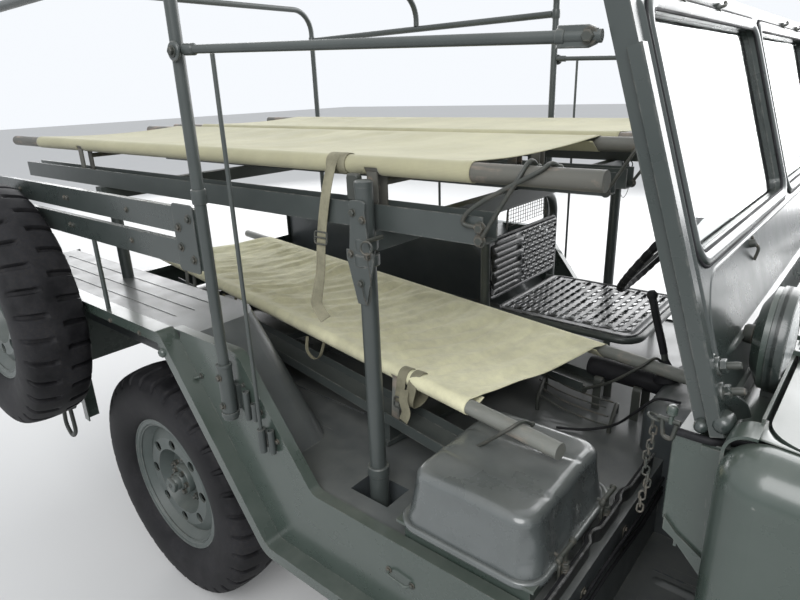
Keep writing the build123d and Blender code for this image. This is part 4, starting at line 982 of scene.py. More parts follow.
def addWindshieldTrim(settings):
    front = glassPlane(settings)
    width, height = settings["paneSize"]
    half, rise = settings["ringHalf"], settings["ringHeight"]
    shape = roundedRectangle(width + 0.004, height + 0.004, settings["paneCorner"] + 0.002, 12)
    shape = np.vstack([np.linspace(shape[k - 1], shape[k], 3)[1:] for k in range(len(shape))])
    section = [(-half, -0.012), (-half, 0.0012), (-half + 0.002, 0.003), (-half * 0.4, rise * 0.8), (0.0, rise),
               (half * 0.45, rise), (half * 0.8, rise * 0.72), (half, rise * 0.25), (half, -0.002)]
    rings, lines = [], []
    for side in (-1, 1):
        around = shape + (side * settings["paneMiddle"][0], settings["paneMiddle"][1])
        for place in (front, glassPlane(settings, True)):
            rings.append(trimRing(around, section, place))
            for seam in ((half + 0.0012, 0.0006), (-half - 0.0004, 0.0)):
                lines.append(trimRing(around, circle(0.0027, 8) + seam, place))
    addPiece("pane_frames", rings, framePaint)
    addPiece("pane_seals", lines, sealRubber)

    ribs = [straightRib(-reach, reach, count, level, wide, high, front, taper)
            for reach, count, level, wide, high, taper in settings["levelRibs"]]
    outline = bentPath(settings["outlineRib"], 0.045, 10)[:, :2]
    ribs.append(pressedRib(spread(outline, 220), 0.012, 0.0018, front))
    for side in (-1, 1):
        ribs.append(straightRib(0.012, 0.566, 60, side * 0.6765, 0.017, 0.0058, front, 0.012, upright=True))
    addPiece("windshield_ribs", ribs, framePaint)

    # Channel down each post: a lip proud of the side, wrapped round the front corner
    lip = np.array(settings["postLip"])
    up = np.linspace(0.004, 0.508, 40)[:, None]
    channels = [(front(side * (settings["halfWidth"] + lip[:, 0]), up, -lip[:, 1]), tubeFaces(len(up), len(lip)))
                for side in (-1, 1)]
    addPiece("post_channels", channels, framePaint, autoAngle=35.0)

    # Small fittings: hooks along the header, wiper spindle knobs, foot brackets with studs and hinge pins
    fittings, dark = [], []
    out = front(0.0, 0.0, 1.0) - front(0.0, 0.0, 0.0)
    for across in settings["hooks"]:
        foot = front(across, settings["hookLevel"], 0.0)
        dark.append(disc(foot, out, 0.008, 0.007))
        dark.append(wire([foot + out * off + (0, y, z) for off, y, z in settings["hookWire"]], 0.0028, 14))
    for side in (-1, 1):
        (across, level), (stopAcross, stopLevel) = settings["spindle"], settings["spindleStop"]
        foot = front(side * across, level, 0.0)
        dark.append(disc(foot, out, 0.0065, 0.01, 20))
        dark.append(wire([foot + out * off + (0, y, z) for off, y, z in settings["spindleWire"]], 0.0026, 12))
        dark.append(disc(front(side * stopAcross, stopLevel, 0.0), out, 0.0035, 0.003, 14))
    outline = spread(curve(settings["footPlate"], 60), 40)[:-1]
    across, up = settings["footPlace"]
    for side in (-1, 1):
        fittings.append(slab(outline, front(side * across, up, 0.0), out, 0.0055, 0.0012, across=left))
        for level, offset in settings["footNuts"]:
            foot = front(side * across + offset, up + level, 0.0055)
            fittings.append(disc(foot, out, 0.0125, 0.003, 28))
            fittings.append(slab(circle(0.0098, 6), foot + out * 0.003, out, 0.008, 0.0012))
            dark.append(lathe(settings["stud"], foot + out * 0.003, out, 16))
        arm = curve(mirrored(settings["arm"], side), 18)
        fittings.append(ribbon(arm, (0.5, 0, 0.5), 0.024, 0.007))
        fittings += [lathe(np.array(settings["pin"]) * scale, mirrored(place, side), (0, side, 0), 28)
                     for place, scale in settings["pins"]]
    addPiece("windshield_brackets", fittings, framePaint)
    addPiece("windshield_knobs", dark, boltPaint)


addWindshieldTrim(windshield)
print("windshield trim made")

# Wheels: hub with its drive flange, studs and nuts on every road wheel, rolled rings on every rim
hub = {
    "face": 0.004,
    "nutCircle": 0.06985,
    "nutCount": 5,
    "flangeBolts": 6,
    "boltCircle": 0.03808,
    "ringRadii": ((0.2215, 0.063, 0.0034), (0.202, 0.0575, 0.0026)),
    "drum": ((0.056, 0.0), (0.056, 0.006), (0.0535, 0.0085), (0.05, 0.01), (0.049, 0.03), (0.047, 0.033),
             (0.0001, 0.033)),
    "flange": ((0.03, 0.032), (0.03, 0.04), (0.027, 0.044), (0.025, 0.044), (0.024, 0.058), (0.0215, 0.061),
               (0.0001, 0.061)),
    "shaftEnd": ((0.0075, 0.0722), (0.0062, 0.0722), (0.0058, 0.07), (0.0001, 0.07)),
    "nutSeat": ((0.0125, 0.0), (0.0105, 0.0045), (0.01, 0.0045)),
    "stud": ((0.0062, 0.0), (0.0062, 0.0215), (0.005, 0.0235), (0.0001, 0.0235)),
}


def wheelFittings(settings, centre, side, road):
    # Everything turned or placed about the axle line, measured outwards from the disc face
    axis = np.array([0.0, float(side), 0.0])
    face = centre + axis * settings["face"]
    a, b, _ = basis(axis)
    steel = []
    painted = [wireRing(centre + axis * depth * way, axis, radius, thick, 72)
               for radius, depth, thick in settings["ringRadii"] for way in (1, -1)]
    for angle in turns(settings["nutCount"])[:None if road else 3] + 0.3:
        foot = face + settings["nutCircle"] * (math.cos(angle) * a + math.sin(angle) * b)
        steel += [lathe(settings["nutSeat"], foot, axis, 20),
                  slab(circle(0.0112, 6), foot + axis * 0.0035, axis, 0.013, 0.0014),
                  lathe(settings["stud"], foot, axis, 16)]
    if road:
        painted += [lathe(settings["drum"], face, axis, 48), lathe(settings["flange"], face, axis, 36),
                    plate(0.046, 0.038, 0.01, 5, face + axis * 0.056, axis, 0.015, 0.0022, across=(0.93, 0, -0.36))]
        steel.append(lathe(settings["shaftEnd"], face, axis, 20))
        for angle in turns(settings["flangeBolts"]):
            foot = face + axis * 0.033 + settings["boltCircle"] * (math.cos(angle) * a + math.sin(angle) * b)
            steel.append(boltHead(foot, axis, 0.0082, 0.0085, 0.0098))
    return painted, steel


def addWheelFittings(settings):
    for name, _, body, centre in eachWheel("wheel"):
        painted, steel = wheelFittings(settings, centre, 1 if "left" in name else -1, name != "spare")
        addPiece("hub_" + name, painted, wheelPaint, body)
        addPiece("nuts_" + name, steel, boltPaint, body)


addWheelFittings(hub)
print("hubs and nuts made")

# Seat: pressed pan and back with staggered slots, each slot with a raised lip
seat = {
    "pan": {"x": (-0.208, 0.258), "y": (0.166, 0.612), "z": 0.8385,
            "field": {"cells": (9, 14), "slot": (0.03, 0.011), "border": 0.022, "corner": 0.04}},
    "back": {"x": -0.2237, "y": (0.151, 0.645), "z": (0.86, 1.076),
             "field": {"cells": (12, 9), "slot": (0.022, 0.0085), "border": 0.014, "corner": 0.036}},
    "plainBefore": -0.03,   # the back has no slots on this side of its middle
    "panSag": 0.003,
    "sheet": 0.003,
    "lip": 0.0022,
}


def slottedSheet(size, place, cells, slot, border, corner, solid=None):
    # Field of cells, each a ring of points from its box in to a capsule hole, inside a rounded border
    field = np.array(size) - 2 * border
    columns, rows = cells
    pitch = field / cells
    cellHalf = pitch / 2
    lip = seat["lip"]
    corners = np.array([(1, -1), (1, 1), (-1, 1), (-1, -1)], float)
    outer = np.vstack([np.linspace(corners[k - 1], corners[k], 5)[:-1] for k in range(4)]) * cellHalf
    points, faces = [], []

    def capsule(grow):
        # Outline of the slot, grown by a distance, its points in the same directions as the cell's own
        half = np.array(slot) / 2 + grow
        straight = max(half[0] - half[1], 0.0)
        middle = np.column_stack([np.clip(outer[:, 0], -straight, straight), np.zeros(len(outer))])
        way = outer - middle
        return middle + way / np.maximum(np.linalg.norm(way, axis=1), 1e-9)[:, None] * half[1]

    def patch(shape, block):
        faces.append(block + sum(len(part) for part in points))
        points.append(shape.reshape(-1, 3))

    stack = np.array([np.column_stack([ring, np.full(16, level)]) for ring, level in (
        (outer, 0.0), (capsule(0.0042), 0.0), (capsule(0.002), lip), (capsule(0.0), lip * 0.6))])
    for row in range(rows):
        shifted = row % 2
        centreV = -field[1] / 2 + (row + 0.5) * pitch[1]
        for middle in np.arange(1, columns) if shifted else np.arange(columns) + 0.5:
            centreU = -field[0] / 2 + middle * pitch[0]
            if solid is not None and solid(centreU, centreV):
                flat = (centreU, centreV) + corners * cellHalf
                patch(np.column_stack([flat, np.zeros(4)]), np.array([[0, 1, 2, 3]]))
            else:
                patch(stack + (centreU, centreV, 0.0), gridFaces(4, 16, False, True))
        for low in (0.0, columns - 0.5) if shifted else ():
            u, v = -field[0] / 2 + low * pitch[0] + cellHalf[0] / 2, centreV
            flat = (u, v) + corners * (cellHalf[0] / 2, cellHalf[1])
            patch(np.column_stack([flat, np.zeros(4)]), np.array([[0, 1, 2, 3]]))
    rim = roundedRectangle(*size, corner, 9)
    edge = ((np.clip(rim, -field / 2, field / 2), 0.0), (rim * 0.985, 0.0), (rim, -0.004))
    patch(np.array([np.column_stack([ring, np.full(len(rim), level)]) for ring, level in edge]),
          gridFaces(3, len(rim), False, True))
    return place(*np.vstack(points).T), [face for block in faces for face in block]


def addSeat(settings):
    pan, back = settings["pan"], settings["back"]
    panSize = np.array((pan["y"][1] - pan["y"][0], pan["x"][1] - pan["x"][0]))

    def onPan(u, v, h):
        sag = 1.0
        for far, size in zip((u, v), panSize):
            sag = sag * (1 - np.clip(2 * np.abs(far) / size, 0, 1) ** 2)
        return np.stack([sum(pan["x"]) / 2 + v, sum(pan["y"]) / 2 - u,
                         pan["z"] + h + 0.004 - settings["panSag"] * sag], -1)

    def onBack(u, v, h):
        return np.stack([back["x"] + h, sum(back["y"]) / 2 + u, sum(back["z"]) / 2 + v], -1)

    backSize = (back["y"][1] - back["y"][0], back["z"][1] - back["z"][0])
    shapes = [slottedSheet(panSize, onPan, **pan["field"]),
              slottedSheet(backSize, onBack, **back["field"], solid=lambda u, v: u < settings["plainBefore"])]
    thicken(addPiece("seat_sheets", shapes, seatSteel, replaces=("seat_panels",)), settings["sheet"])


addSeat(seat)
print("seat sheets made")

# Battery cover: rings of a rounded box from its flange to the crown, with soft bulges and creases
coverBox = {
    "x": (0.122, 0.424),
    "y": (-0.752, -0.404),
    "z": (0.742, 0.858),
    "corner": 0.046,
    "lean": 0.1584,         # how far a wall comes in for each metre of height
    "shoulder": 0.024,
    "bulges": (-0.105, 0.0, 0.105),
    "bulgeDepth": 0.0055,
    "nearBulges": (-0.075, 0.075),
    "nearDepth": 0.0045,
    "creaseDepth": 0.0022,
    "dentDepth": 0.001,
    "rim": ((-0.006, -0.001), (0.0, 0.0034), (0.0055, 0.0036), (0.008, 0.001), (0.008, -0.008), (0.0055, -0.0105),
            (0.003, -0.008), (0.003, -0.001)),
    "latches": (-0.66, -0.47),
    "coilTurns": 7,
    "knob": ((0.0001, 0.0075), (0.0045, 0.006), (0.0068, 0.002), (0.0068, -0.002), (0.0045, -0.006),
             (0.0001, -0.0075)),
}


def bumps(value, places, width):
    # Sum of bell curves
    return sum(np.exp(-((value - place) / width) ** 2) for place in places)


def coverShape(settings):
    width = settings["x"][1] - settings["x"][0] - 0.008
    depth = settings["y"][1] - settings["y"][0] - 0.008
    height = settings["z"][1] - settings["z"][0]
    around = 240
    wallTop = height - settings["shoulder"]
    inset = wallTop * settings["lean"]
    rings = [(t * inset, t * wallTop) for t in np.linspace(0, 1, 14)]
    for angle in np.linspace(0, np.pi / 2, 10)[1:]:
        rings.append((inset + settings["shoulder"] * (1 - math.cos(angle)),
                      wallTop + settings["shoulder"] * math.sin(angle)))
    layers = []
    for step, level in rings:
        ring = roundedRectangle(width - 2 * step, depth - 2 * step, max(settings["corner"] - 0.35 * step, 0.02), 12)
        ring = spread(np.vstack([ring, ring[:1]]), around + 1)[:-1]
        layers.append(np.column_stack([ring, np.full(around, level)]))
    layers += [layers[-1] * (shrink, shrink, 1.0) for shrink in np.linspace(1, 0, 16)[1:-1]]
    x, y, z = np.moveaxis(np.array(layers), -1, 0)
    rise = smoothStep(z, 0.004, 0.03) * smoothStep(-z, 0.012 - height, 0.05 - height)
    front = smoothStep(x, width / 2 - 0.045, width / 2 - 0.022)
    near = smoothStep(-y, depth / 2 - 0.045, depth / 2 - 0.022)
    u = x - settings["bulgeDepth"] * front * rise * (1 - bumps(y, settings["bulges"], 0.03))
    v = y + settings["nearDepth"] * near * rise * (1 - bumps(x, settings["nearBulges"], 0.034))
    onTop = smoothStep(z, height - 0.006, height - 0.001)
    creases = bumps(y - 0.1 * x, (0.055,), 0.007) + bumps(y + 0.05 * x, (-0.06,), 0.007)
    dents = np.sin(x * 31 + 1.0) * np.sin(y * 23 + 0.4)
    h = z - onTop * (settings["creaseDepth"] * creases + settings["dentDepth"] * (1 + dents))
    placed = np.stack([u + sum(settings["x"]) / 2, v + sum(settings["y"]) / 2, h + settings["z"][0]], -1)
    return placed, tubeFaces(len(layers), around)


def addBatteryCover(settings):
    addPiece("battery_lid", [coverShape(settings)], coverPaint, "body", 60.0, ("battery_cover",))
    (x0, x1), (y0, y1) = settings["x"], settings["y"]
    top = onPanel(((x0 + x1) / 2, (y0 + y1) / 2, settings["z"][0]), fore, left)
    rim = roundedRectangle(x1 - x0 - 0.004, y1 - y0 - 0.004, 0.044, 14)
    rim = spread(np.vstack([rim, rim[:1]]), 161)[:-1]
    addPiece("battery_rim", [trimRing(rim, settings["rim"], top)], coverPaint, autoAngle=50.0)
    # Latches: keeper plate, threaded rod with its spring, cross bar with round ends, nut and hook
    steel = []
    x = x1 + 0.014
    coil = np.linspace(0, 2 * np.pi * settings["coilTurns"], 150)
    for y in settings["latches"]:
        helix = np.column_stack([x + 0.0066 * np.cos(coil), y + 0.0066 * np.sin(coil), 0.712 + 0.03 * coil / coil[-1]])
        steel += [plate(0.03, 0.046, 0.006, 4, (x - 0.008, y, 0.722), fore, 0.005, 0.001),
                  rod([(x, y, 0.704), (x, y, 0.772)], 0.0036, sides=12), sweepProfile(helix, circle(0.0014, 6)),
                  rod([(x - 0.002, y - 0.026, 0.77), (x + 0.002, y + 0.026, 0.774)], 0.0048, sides=14)]
        steel += [lathe(settings["knob"], (x, y + end * 0.027, 0.772 + end * 0.002), left, 16) for end in (-1, 1)]
        steel.append(slab(circle(0.0085, 6), (x, y, 0.742), sky, 0.006, 0.001))
        steel.append(rod([(x - 0.004, y, 0.75), (x - 0.03, y, 0.756), (x - 0.04, y, 0.75)], 0.0032, 0.008, 8))
    addPiece("battery_latches", steel, boltPaint)


addBatteryCover(coverBox)
print("battery cover made")

# Straps: one hangs from the near upper pole, two hold the lower litter to its tray; short laces, two buckles
straps = {
    "width": 0.026,
    "hanging": ((-0.118, -0.586, 1.424), (-0.116, -0.604, 1.4305), (-0.118, -0.6235, 1.42), (-0.126, -0.638, 1.372),
                (-0.142, -0.643, 1.3), (-0.153, -0.644, 1.24), (-0.166, -0.64, 1.18), (-0.184, -0.636, 1.13),
                (-0.195, -0.633, 1.1), (-0.189, -0.6315, 1.082), (-0.168, -0.6345, 1.066)),
    "upperPole": (-0.604, 1.41),
    "poleLoops": (-0.128, -0.1),
    "lowerPole": (-0.052, -0.493, 0.898),
    # y and z of the strap's way round the lower pole and its tray, from the pole's middle
    "around": ((0.0215, 0.0), (0.012, 0.0195), (-0.01, 0.0205), (-0.0225, 0.004), (-0.028, -0.02), (-0.033, -0.044),
               (-0.026, -0.06), (0.0, -0.065), (0.022, -0.058), (0.03, -0.042), (0.026, -0.02), (0.0215, 0.0)),
    "tail": ((0.012, -0.028, -0.02), (0.02, -0.042, -0.04), (0.03, -0.046, -0.066), (0.024, -0.05, -0.088)),
    "laces": (-0.42, -0.95),
    "lace": ((-0.03, -0.022, 0.004), (-0.026, -0.03, -0.034), (0.0, -0.032, -0.052), (0.026, -0.03, -0.04),
             (0.04, -0.022, 0.004)),
    "buckles": ((-0.15, -0.6462, 1.258), (-0.046, -0.531, 0.846)),
}


def addStraps(settings):
    width = settings["width"]
    hanging = curve(settings["hanging"], 110)
    turn = smoothStep(np.arange(len(hanging)), 60, 108)[:, None]
    shapes = [ribbon(hanging, (1.0, 0.0, 0.0) * (1 - 0.6 * turn) + (0.0, 0.75, 0.4) * turn, width)]
    for x in settings["poleLoops"]:
        loop = ringPath((x, *settings["upperPole"]), fore, 0.0208, 36)
        shapes.append(ribbon(np.vstack([loop, loop[:2]]), fore, 0.024))
    centre = np.array(settings["lowerPole"])
    for shift, lean in ((0.0, 0.0), (0.034, 0.125)):
        around = [centre + (shift + lean * z, y, z) for y, z in settings["around"]]
        shapes.append(ribbon(curve(around, 96), fore, width))
    shapes.append(ribbon(curve(centre + settings["tail"], 36), (1, 0, 0.2), width))
    # The laces start on the lower near pole, which runs inwards towards the rear
    for x in settings["laces"]:
        start = np.array((x, -0.434 - 0.167 * (x + 0.42), 0.888))
        shapes.append(ribbon(curve(start + settings["lace"], 30), (0.3, 1.0, 0), 0.009))
    addPiece("litter_straps", shapes, webbing, autoAngle=60.0)
    buckles = []
    for middle in settings["buckles"]:
        place = onPanel(middle, fore, (0, 0.12, 1))
        buckles.append(trimRing(roundedRectangle(0.036, 0.026, 0.005, 4), circle(0.0022, 8), place))
        buckles.append(rod([place(x, 0.001, 0.001) for x in (-0.017, 0.017)], 0.002, sides=8))
    addPiece("strap_buckles", buckles, boltPaint)


# Keepers: thin hooked rods that rise from the rail ends and lie over the poles
keepers = {
    "upperNear": ((0.236, -0.634, 1.3), (0.262, -0.636, 1.34), (0.3, -0.628, 1.405), (0.309, -0.604, 1.4335),
                  (0.312, -0.58, 1.422)),
    "nearBrace": ((0.236, -0.634, 1.322), (0.205, -0.64, 1.33), (0.232, -0.638, 1.362), (0.33, -0.624, 1.4185),
                  (0.345, -0.604, 1.4315), (0.352, -0.586, 1.424)),
    "upperInner": ((0.236, -0.086, 1.3), (0.262, -0.088, 1.34), (0.3, -0.088, 1.405), (0.309, -0.064, 1.4335),
                   (0.312, -0.04, 1.422)),
    "lowerNear": ((0.11, -0.576, 0.79), (0.19, -0.586, 0.842), (0.262, -0.576, 0.906), (0.283, -0.548, 0.9215),
                  (0.292, -0.52, 0.906)),
    "lowerFar": ((0.2, -0.042, 0.748), (0.28, -0.052, 0.8), (0.35, -0.042, 0.862), (0.371, -0.014, 0.878),
                 (0.38, 0.014, 0.862)),
    "tip": ((0.0001, 0.006), (0.0042, 0.0044), (0.006, 0.0), (0.0042, -0.0044), (0.0001, -0.006)),
}


def addKeepers(settings):
    # Two of the upper rods are built on both sides of the truck
    shapes = []
    for name, mirror in (("upperNear", 1), ("nearBrace", 1), ("upperInner", 1), ("upperInner", -1),
                         ("upperNear", -1), ("lowerNear", 1), ("lowerFar", 1)):
        line = curve(mirrored(settings[name], mirror), 48)
        shapes.append(sweepProfile(line, circle(0.004, 10)))
        shapes.append(lathe(settings["tip"], line[-1], line[-1] - line[-3], 14))
        side = 1.0 if line[0][1] > 0.3 or -0.3 < line[0][1] < 0 else -1.0
        shapes.append(boltHead(line[0], (0, side, 0), 0.009, 0.006, 0.012))
    addPiece("pole_keepers", shapes, boltPaint)


# Rack posts: strap plate and block at the top, gusset and collars, cap, ring pin and its wire
postFittings = {
    "x": -0.01,
    "y": 0.655,
    "plate": ((-0.03, -0.07), (0.03, -0.07), (0.024, -0.02), (0.019, 0.03), (0.019, 0.052), (-0.019, 0.052),
              (-0.019, 0.03), (-0.024, -0.02), (-0.03, -0.07)),
    "gusset": ((-0.012, -0.1), (0.012, -0.1), (0.036, -0.006), (0.036, 0.01), (-0.036, 0.01), (-0.036, -0.006)),
    "collars": ((1.236, 0.0255), (1.268, 0.024), (0.748, 0.0245)),
    "bolts": ((-0.032, 1.248), (0.012, 1.248), (-0.01, 1.19), (-0.022, 1.33), (0.003, 1.318)),
    "cap": ((0.0001, 0.003), (0.015, 0.003), (0.0185, 0.0005), (0.0185, -0.01), (0.0175, -0.01)),
    "lanyard": ((0.018, 0.688, 1.256), (0.024, 0.686, 1.215), (0.02, 0.682, 1.17), (0.008, 0.68, 1.15),
                (-0.002, 0.679, 1.165), (-0.006, 0.678, 1.188)),
}


def addPostFittings(settings):
    painted, dark = [], []
    x = settings["x"]
    outline = spread(curve(settings["plate"], 90), 60)[:-1]
    for side in (-1, 1):
        y = side * settings["y"]
        outer = (0, side, 0)
        for shape, out, level in ((outline, 0.6725, 1.3), (settings["gusset"], 0.6715, 1.246)):
            painted.append(slab(shape, (x, side * out, level), outer, 0.0045, 0.0012, across=fore))
        painted += [collar((x, y, level), sky, 0.0175, radius, 0.012, 0.002, 32)
                    for level, radius in settings["collars"]]
        dark += boltHeads([(u, side * 0.676, z) for u, z in settings["bolts"]], outer, 0.0065, 0.005, 0.0085)
        painted.append(lathe(settings["cap"], (x, y, 1.3865), sky, 28))
        dark.append(plate(0.03, 0.052, 0.006, 4, (-0.048, side * 0.632, 1.372), outer, 0.016, 0.003, across=fore))
        # Ring pin with a wire lanyard that hangs from it
        dark.append(rod([(0.018, side * 0.64, 1.281), (0.018, side * 0.682, 1.281)], 0.0042, sides=12))
        dark.append(wireRing((0.018, side * 0.686, 1.268), (0.25, side, 0.1), 0.0125, 0.002, 30))
        dark.append(wire(mirrored(settings["lanyard"], side), 0.0011, 40, 6))
    addPiece("post_plates", painted, tubePaint)
    addPiece("post_pins", dark, boltPaint)


# Side rails, bows and bars: bolted plates, socket rings, clamps and flattened ends
bowFittings = {
    "bowY": 0.797,
    "plateBolts": ((-0.382, 1.302), (-0.426, 1.28), (-0.382, 1.212), (-0.426, 1.236)),
    "railBolts": (-0.66, -0.99, -1.01, -1.33, -1.64),
    "sockets": (-0.345, -1.69),
    "barStart": (-0.3315, 0.797, 1.633),
    "barEnd": (0.458, 0.716, 1.602),
    "tongue": ((-0.034, -0.0135), (0.006, -0.0135), (0.0165, -0.009), (0.0195, 0.0), (0.0165, 0.009), (0.006, 0.0135),
               (-0.034, 0.0135)),
    "tubes": ((-0.3, 0.832, 0.905), (-0.272, 0.838, 0.882), (-0.222, 0.77, 0.83)),
    "clips": ((-0.318, 0.912), (-0.318, 0.852), (-0.262, 0.815), (-0.262, 0.786)),
}


def addBowFittings(settings):
    painted, dark, rings = [], [], []
    for side in (-1, 1):
        outer = np.array((0, side, 0))
        y = side * settings["bowY"]
        painted.append(plate(0.082, 0.152, 0.01, 5, (-0.404, side * 0.804, 1.257), outer, 0.0042, 0.0012,
                             across=fore))
        dark += boltHeads([(x, side * 0.808, z) for x, z in settings["plateBolts"]], outer, 0.007, 0.005, 0.0105)
        dark += boltHeads([(x, side * 0.804, z) for x in settings["railBolts"] for z in (1.295, 1.219)],
                          outer, 0.0055, 0.0035, 0.0075)
        for x in settings["sockets"]:
            rings.append(collar((x, y, 0.966), sky, 0.0125, 0.0188, 0.004, 0.0006, 30))
            painted.append(collar((x, y, 0.842), sky, 0.017, 0.0205, 0.006, 0.0005, 30))
            dark += boltHeads([(x, side * 0.8135, z) for z in (0.94, 0.868)], outer, 0.0068, 0.006, 0.0092)
            painted += [collar((x, y, level), sky, 0.0122, 0.0158, 0.015, 0.0006, 26, 0.003)
                        for level in (1.352, 1.79)]
        # Disc clamp where the lower bar leaves the bow, and the pinned end by the windshield
        start, end = (mirrored(settings[key], side) for key in ("barStart", "barEnd"))
        along = unit(end - start)
        painted.append(slab(circle(0.0185, 28), start + (-0.004, side * 0.01, -0.003), outer, 0.007, 0.0018))
        dark.append(boltHead(start + (-0.004, side * 0.017, -0.003), outer, 0.0075, 0.006, 0.011))
        painted.append(lathe([(0.008, 0.0), (0.011, 0.002), (0.011, 0.026), (0.008, 0.029)], start + along * 0.01,
                             along, 22))
        painted.append(lathe([(0.008, -0.012), (0.0098, -0.011), (0.0098, 0.0), (0.008, 0.001)], end - along * 0.046,
                             along, 22))
        painted.append(slab(settings["tongue"], end - along * 0.022 - outer * 0.005, outer, 0.01, 0.0022,
                            across=along))
        dark.append(boltHead(end - along * 0.014 + outer * 0.004, outer, 0.008, 0.007, 0.011))
        # Drop rod socket: small tubes and clips beside the bow
        for x, low, high in settings["tubes"]:
            tall = high - low
            painted.append(lathe([(0.0062, 0.0), (0.0078, 0.0), (0.0078, tall), (0.0062, tall),
                                  (0.0062, tall - 0.004), (0.0001, tall - 0.004)], (x, side * 0.7795, low), sky, 18))
            dark.append(boltHead((x + 0.01, side * 0.7705, (low + high) / 2), outer, 0.0055, 0.004, 0.0075))
        dark += boltHeads([(x, side * 0.77, z) for x, z in settings["clips"]], outer, 0.005, 0.0035, 0.0068)
    addPiece("bow_clamps", painted, tubePaint)
    addPiece("bow_bolts", dark, boltPaint)
    addPiece("socket_rings", rings, tubePaint)


# Footman loops, arch studs, rear shackles, the keeper chain and the body's bolts
bodyHardware = {
    "skin": 0.77,
    "ledge": 0.812,
    "loops": (((-0.557, 0.862), (-0.497, 0.882)), ((0.112, 0.622), (0.172, 0.616)), ((-1.33, 0.93), (-1.27, 0.93)),
              ((-1.61, 0.88), (-1.55, 0.88))),
    "leftOnly": -1.2,      # loops behind this x are on the left side only
    "eye": (-1.478, 0.76, 0.486),
    "bow": ((0.02, 0.018, -0.004), (0.026, 0.018, -0.12), (-0.02, 0.018, -0.158), (-0.062, 0.018, -0.118),
            (-0.04, 0.018, -0.004)),
    "chainTop": (0.567, -0.708, 1.106),
    "links": 14,
    "linkStep": 0.011,
    "archBolts": (-0.7, -0.86, -1.02, -1.18),
    "sillBolts": (0.0, 0.26, 0.52),
}


def loopShape(start, end, outward, stand=0.012, thick=0.0026):
    # Wire staple that stands off a surface from start to end
    start, end, outward = (np.array(value, float) for value in (start, end, outward))
    along = unit(end - start)
    path = bentPath([start - outward * 0.002, start + outward * stand + along * 0.006,
                     end + outward * stand - along * 0.006, end - outward * 0.002], 0.01)
    return sweepProfile(path, circle(thick, 8))


def addSmallHardware(settings):
    dark, painted = [], []
    for side in (-1, 1):
        outer = np.array((0.0, side, 0.0))
        for ends in settings["loops"]:
            if side == 1 or ends[0][0] > settings["leftOnly"]:
                places = [(x, side * settings["skin"], z) for x, z in ends]
                painted.append(loopShape(*places, outer))
                dark += boltHeads(places, outer, 0.005, 0.004, 0.0078)
        # Round stud on the corner of the wheel arch
        painted.append(lathe([(0.0001, 0.01), (0.008, 0.0085), (0.012, 0.004), (0.0125, 0.0)],
                             (-0.594, side * settings["ledge"], 0.936), outer, 26))
        # Lifting shackle under the rear quarter
        eye = mirrored(settings["eye"], side)
        painted.append(plate(0.06, 0.08, 0.014, 5, eye + (0, side * -0.004, 0.01), outer, 0.014, 0.003,
                             across=fore))
        bow = bentPath(eye + mirrored(settings["bow"], side), 0.034, 8)
        pin = eye + (0.034, side * 0.018, -0.006)
        dark += [sweepProfile(bow, circle(0.0075)), rod([pin, pin - (0.088, 0, 0)], 0.0072, sides=12),
                 slab(circle(0.0125, 6), pin, fore, 0.01, 0.0015)]
    # Chain and shackle by the right door opening
    dark += [wireRing((0.57, -0.71, 1.112), (0.3, 0.2, 1.0), 0.0095, 0.002),
             rod([(0.58, -0.713, 1.115), (0.584, -0.715, 1.09), (0.596, -0.716, 1.088), (0.6, -0.715, 1.112)],
                 0.0032, 0.01, 10),
             rod([(0.574, -0.711, 1.1145), (0.604, -0.713, 1.1145)], 0.0034, sides=12)]
    painted.append(lathe([(0.0001, 0.01), (0.005, 0.009), (0.0072, 0.005), (0.0072, -0.003), (0.0035, -0.007),
                          (0.0035, -0.018), (0.0001, -0.018)], (0.592, -0.713, 1.129), sky, 22))
    for k in range(settings["links"]):
        shift = (0.003 * math.sin(k * 0.9), 0.002 * math.cos(k * 1.3), -settings["linkStep"] * k - 0.006)
        across = (1, 0.5, 0) if k % 2 else (-0.5, 1, 0)
        dark.append(oval(np.array(settings["chainTop"]) + shift, (0.05 * math.sin(k), 0.0, 1.0), across,
                         0.0152, 0.0088, 0.0014, 20, 7))
    for side in (-1, 1):
        places = [(x, side * settings["ledge"], z) for key, z in (("archBolts", 0.965), ("sillBolts", 0.496))
                  for x in settings[key]]
        dark += boltHeads(places, (0, side, 0), 0.0055, 0.0035, 0.0075)
    addPiece("body_loops", painted, olivePaint)
    addPiece("body_hardware", dark, boltPaint)


addStraps(straps)
addKeepers(keepers)
addPostFittings(postFittings)
addBowFittings(bowFittings)
addSmallHardware(bodyHardware)
print("straps, keepers, clamps and hardware made")

# Cowl sides: rolled edge, raised outer leaf with its notch, rubber on the top, slanted lip, bolted bracket
cowlTrim = {
    "y": 0.7122,
    "leaf": ((0.633, 1.094), (0.633, 1.082), (0.642, 1.078), (0.6555, 0.93), (0.664, 0.89), (0.664, 1.094)),
    "lip": ((0.5995, 0.966), (0.5995, 0.944), (0.615, 0.934), (0.664, 0.88), (0.664, 0.914), (0.618, 0.945)),
    "hem": ((0.5998, 0.7082, 1.096), (0.5998, 0.7082, 0.958)),
    "top": ((0.6, 0.7102, 1.1005), (0.64, 0.7102, 1.1005), (0.66, 0.7002, 1.099), (0.698, 0.6822, 1.099)),
    "bracket": (0.56, 0.766, 0.7015),
}


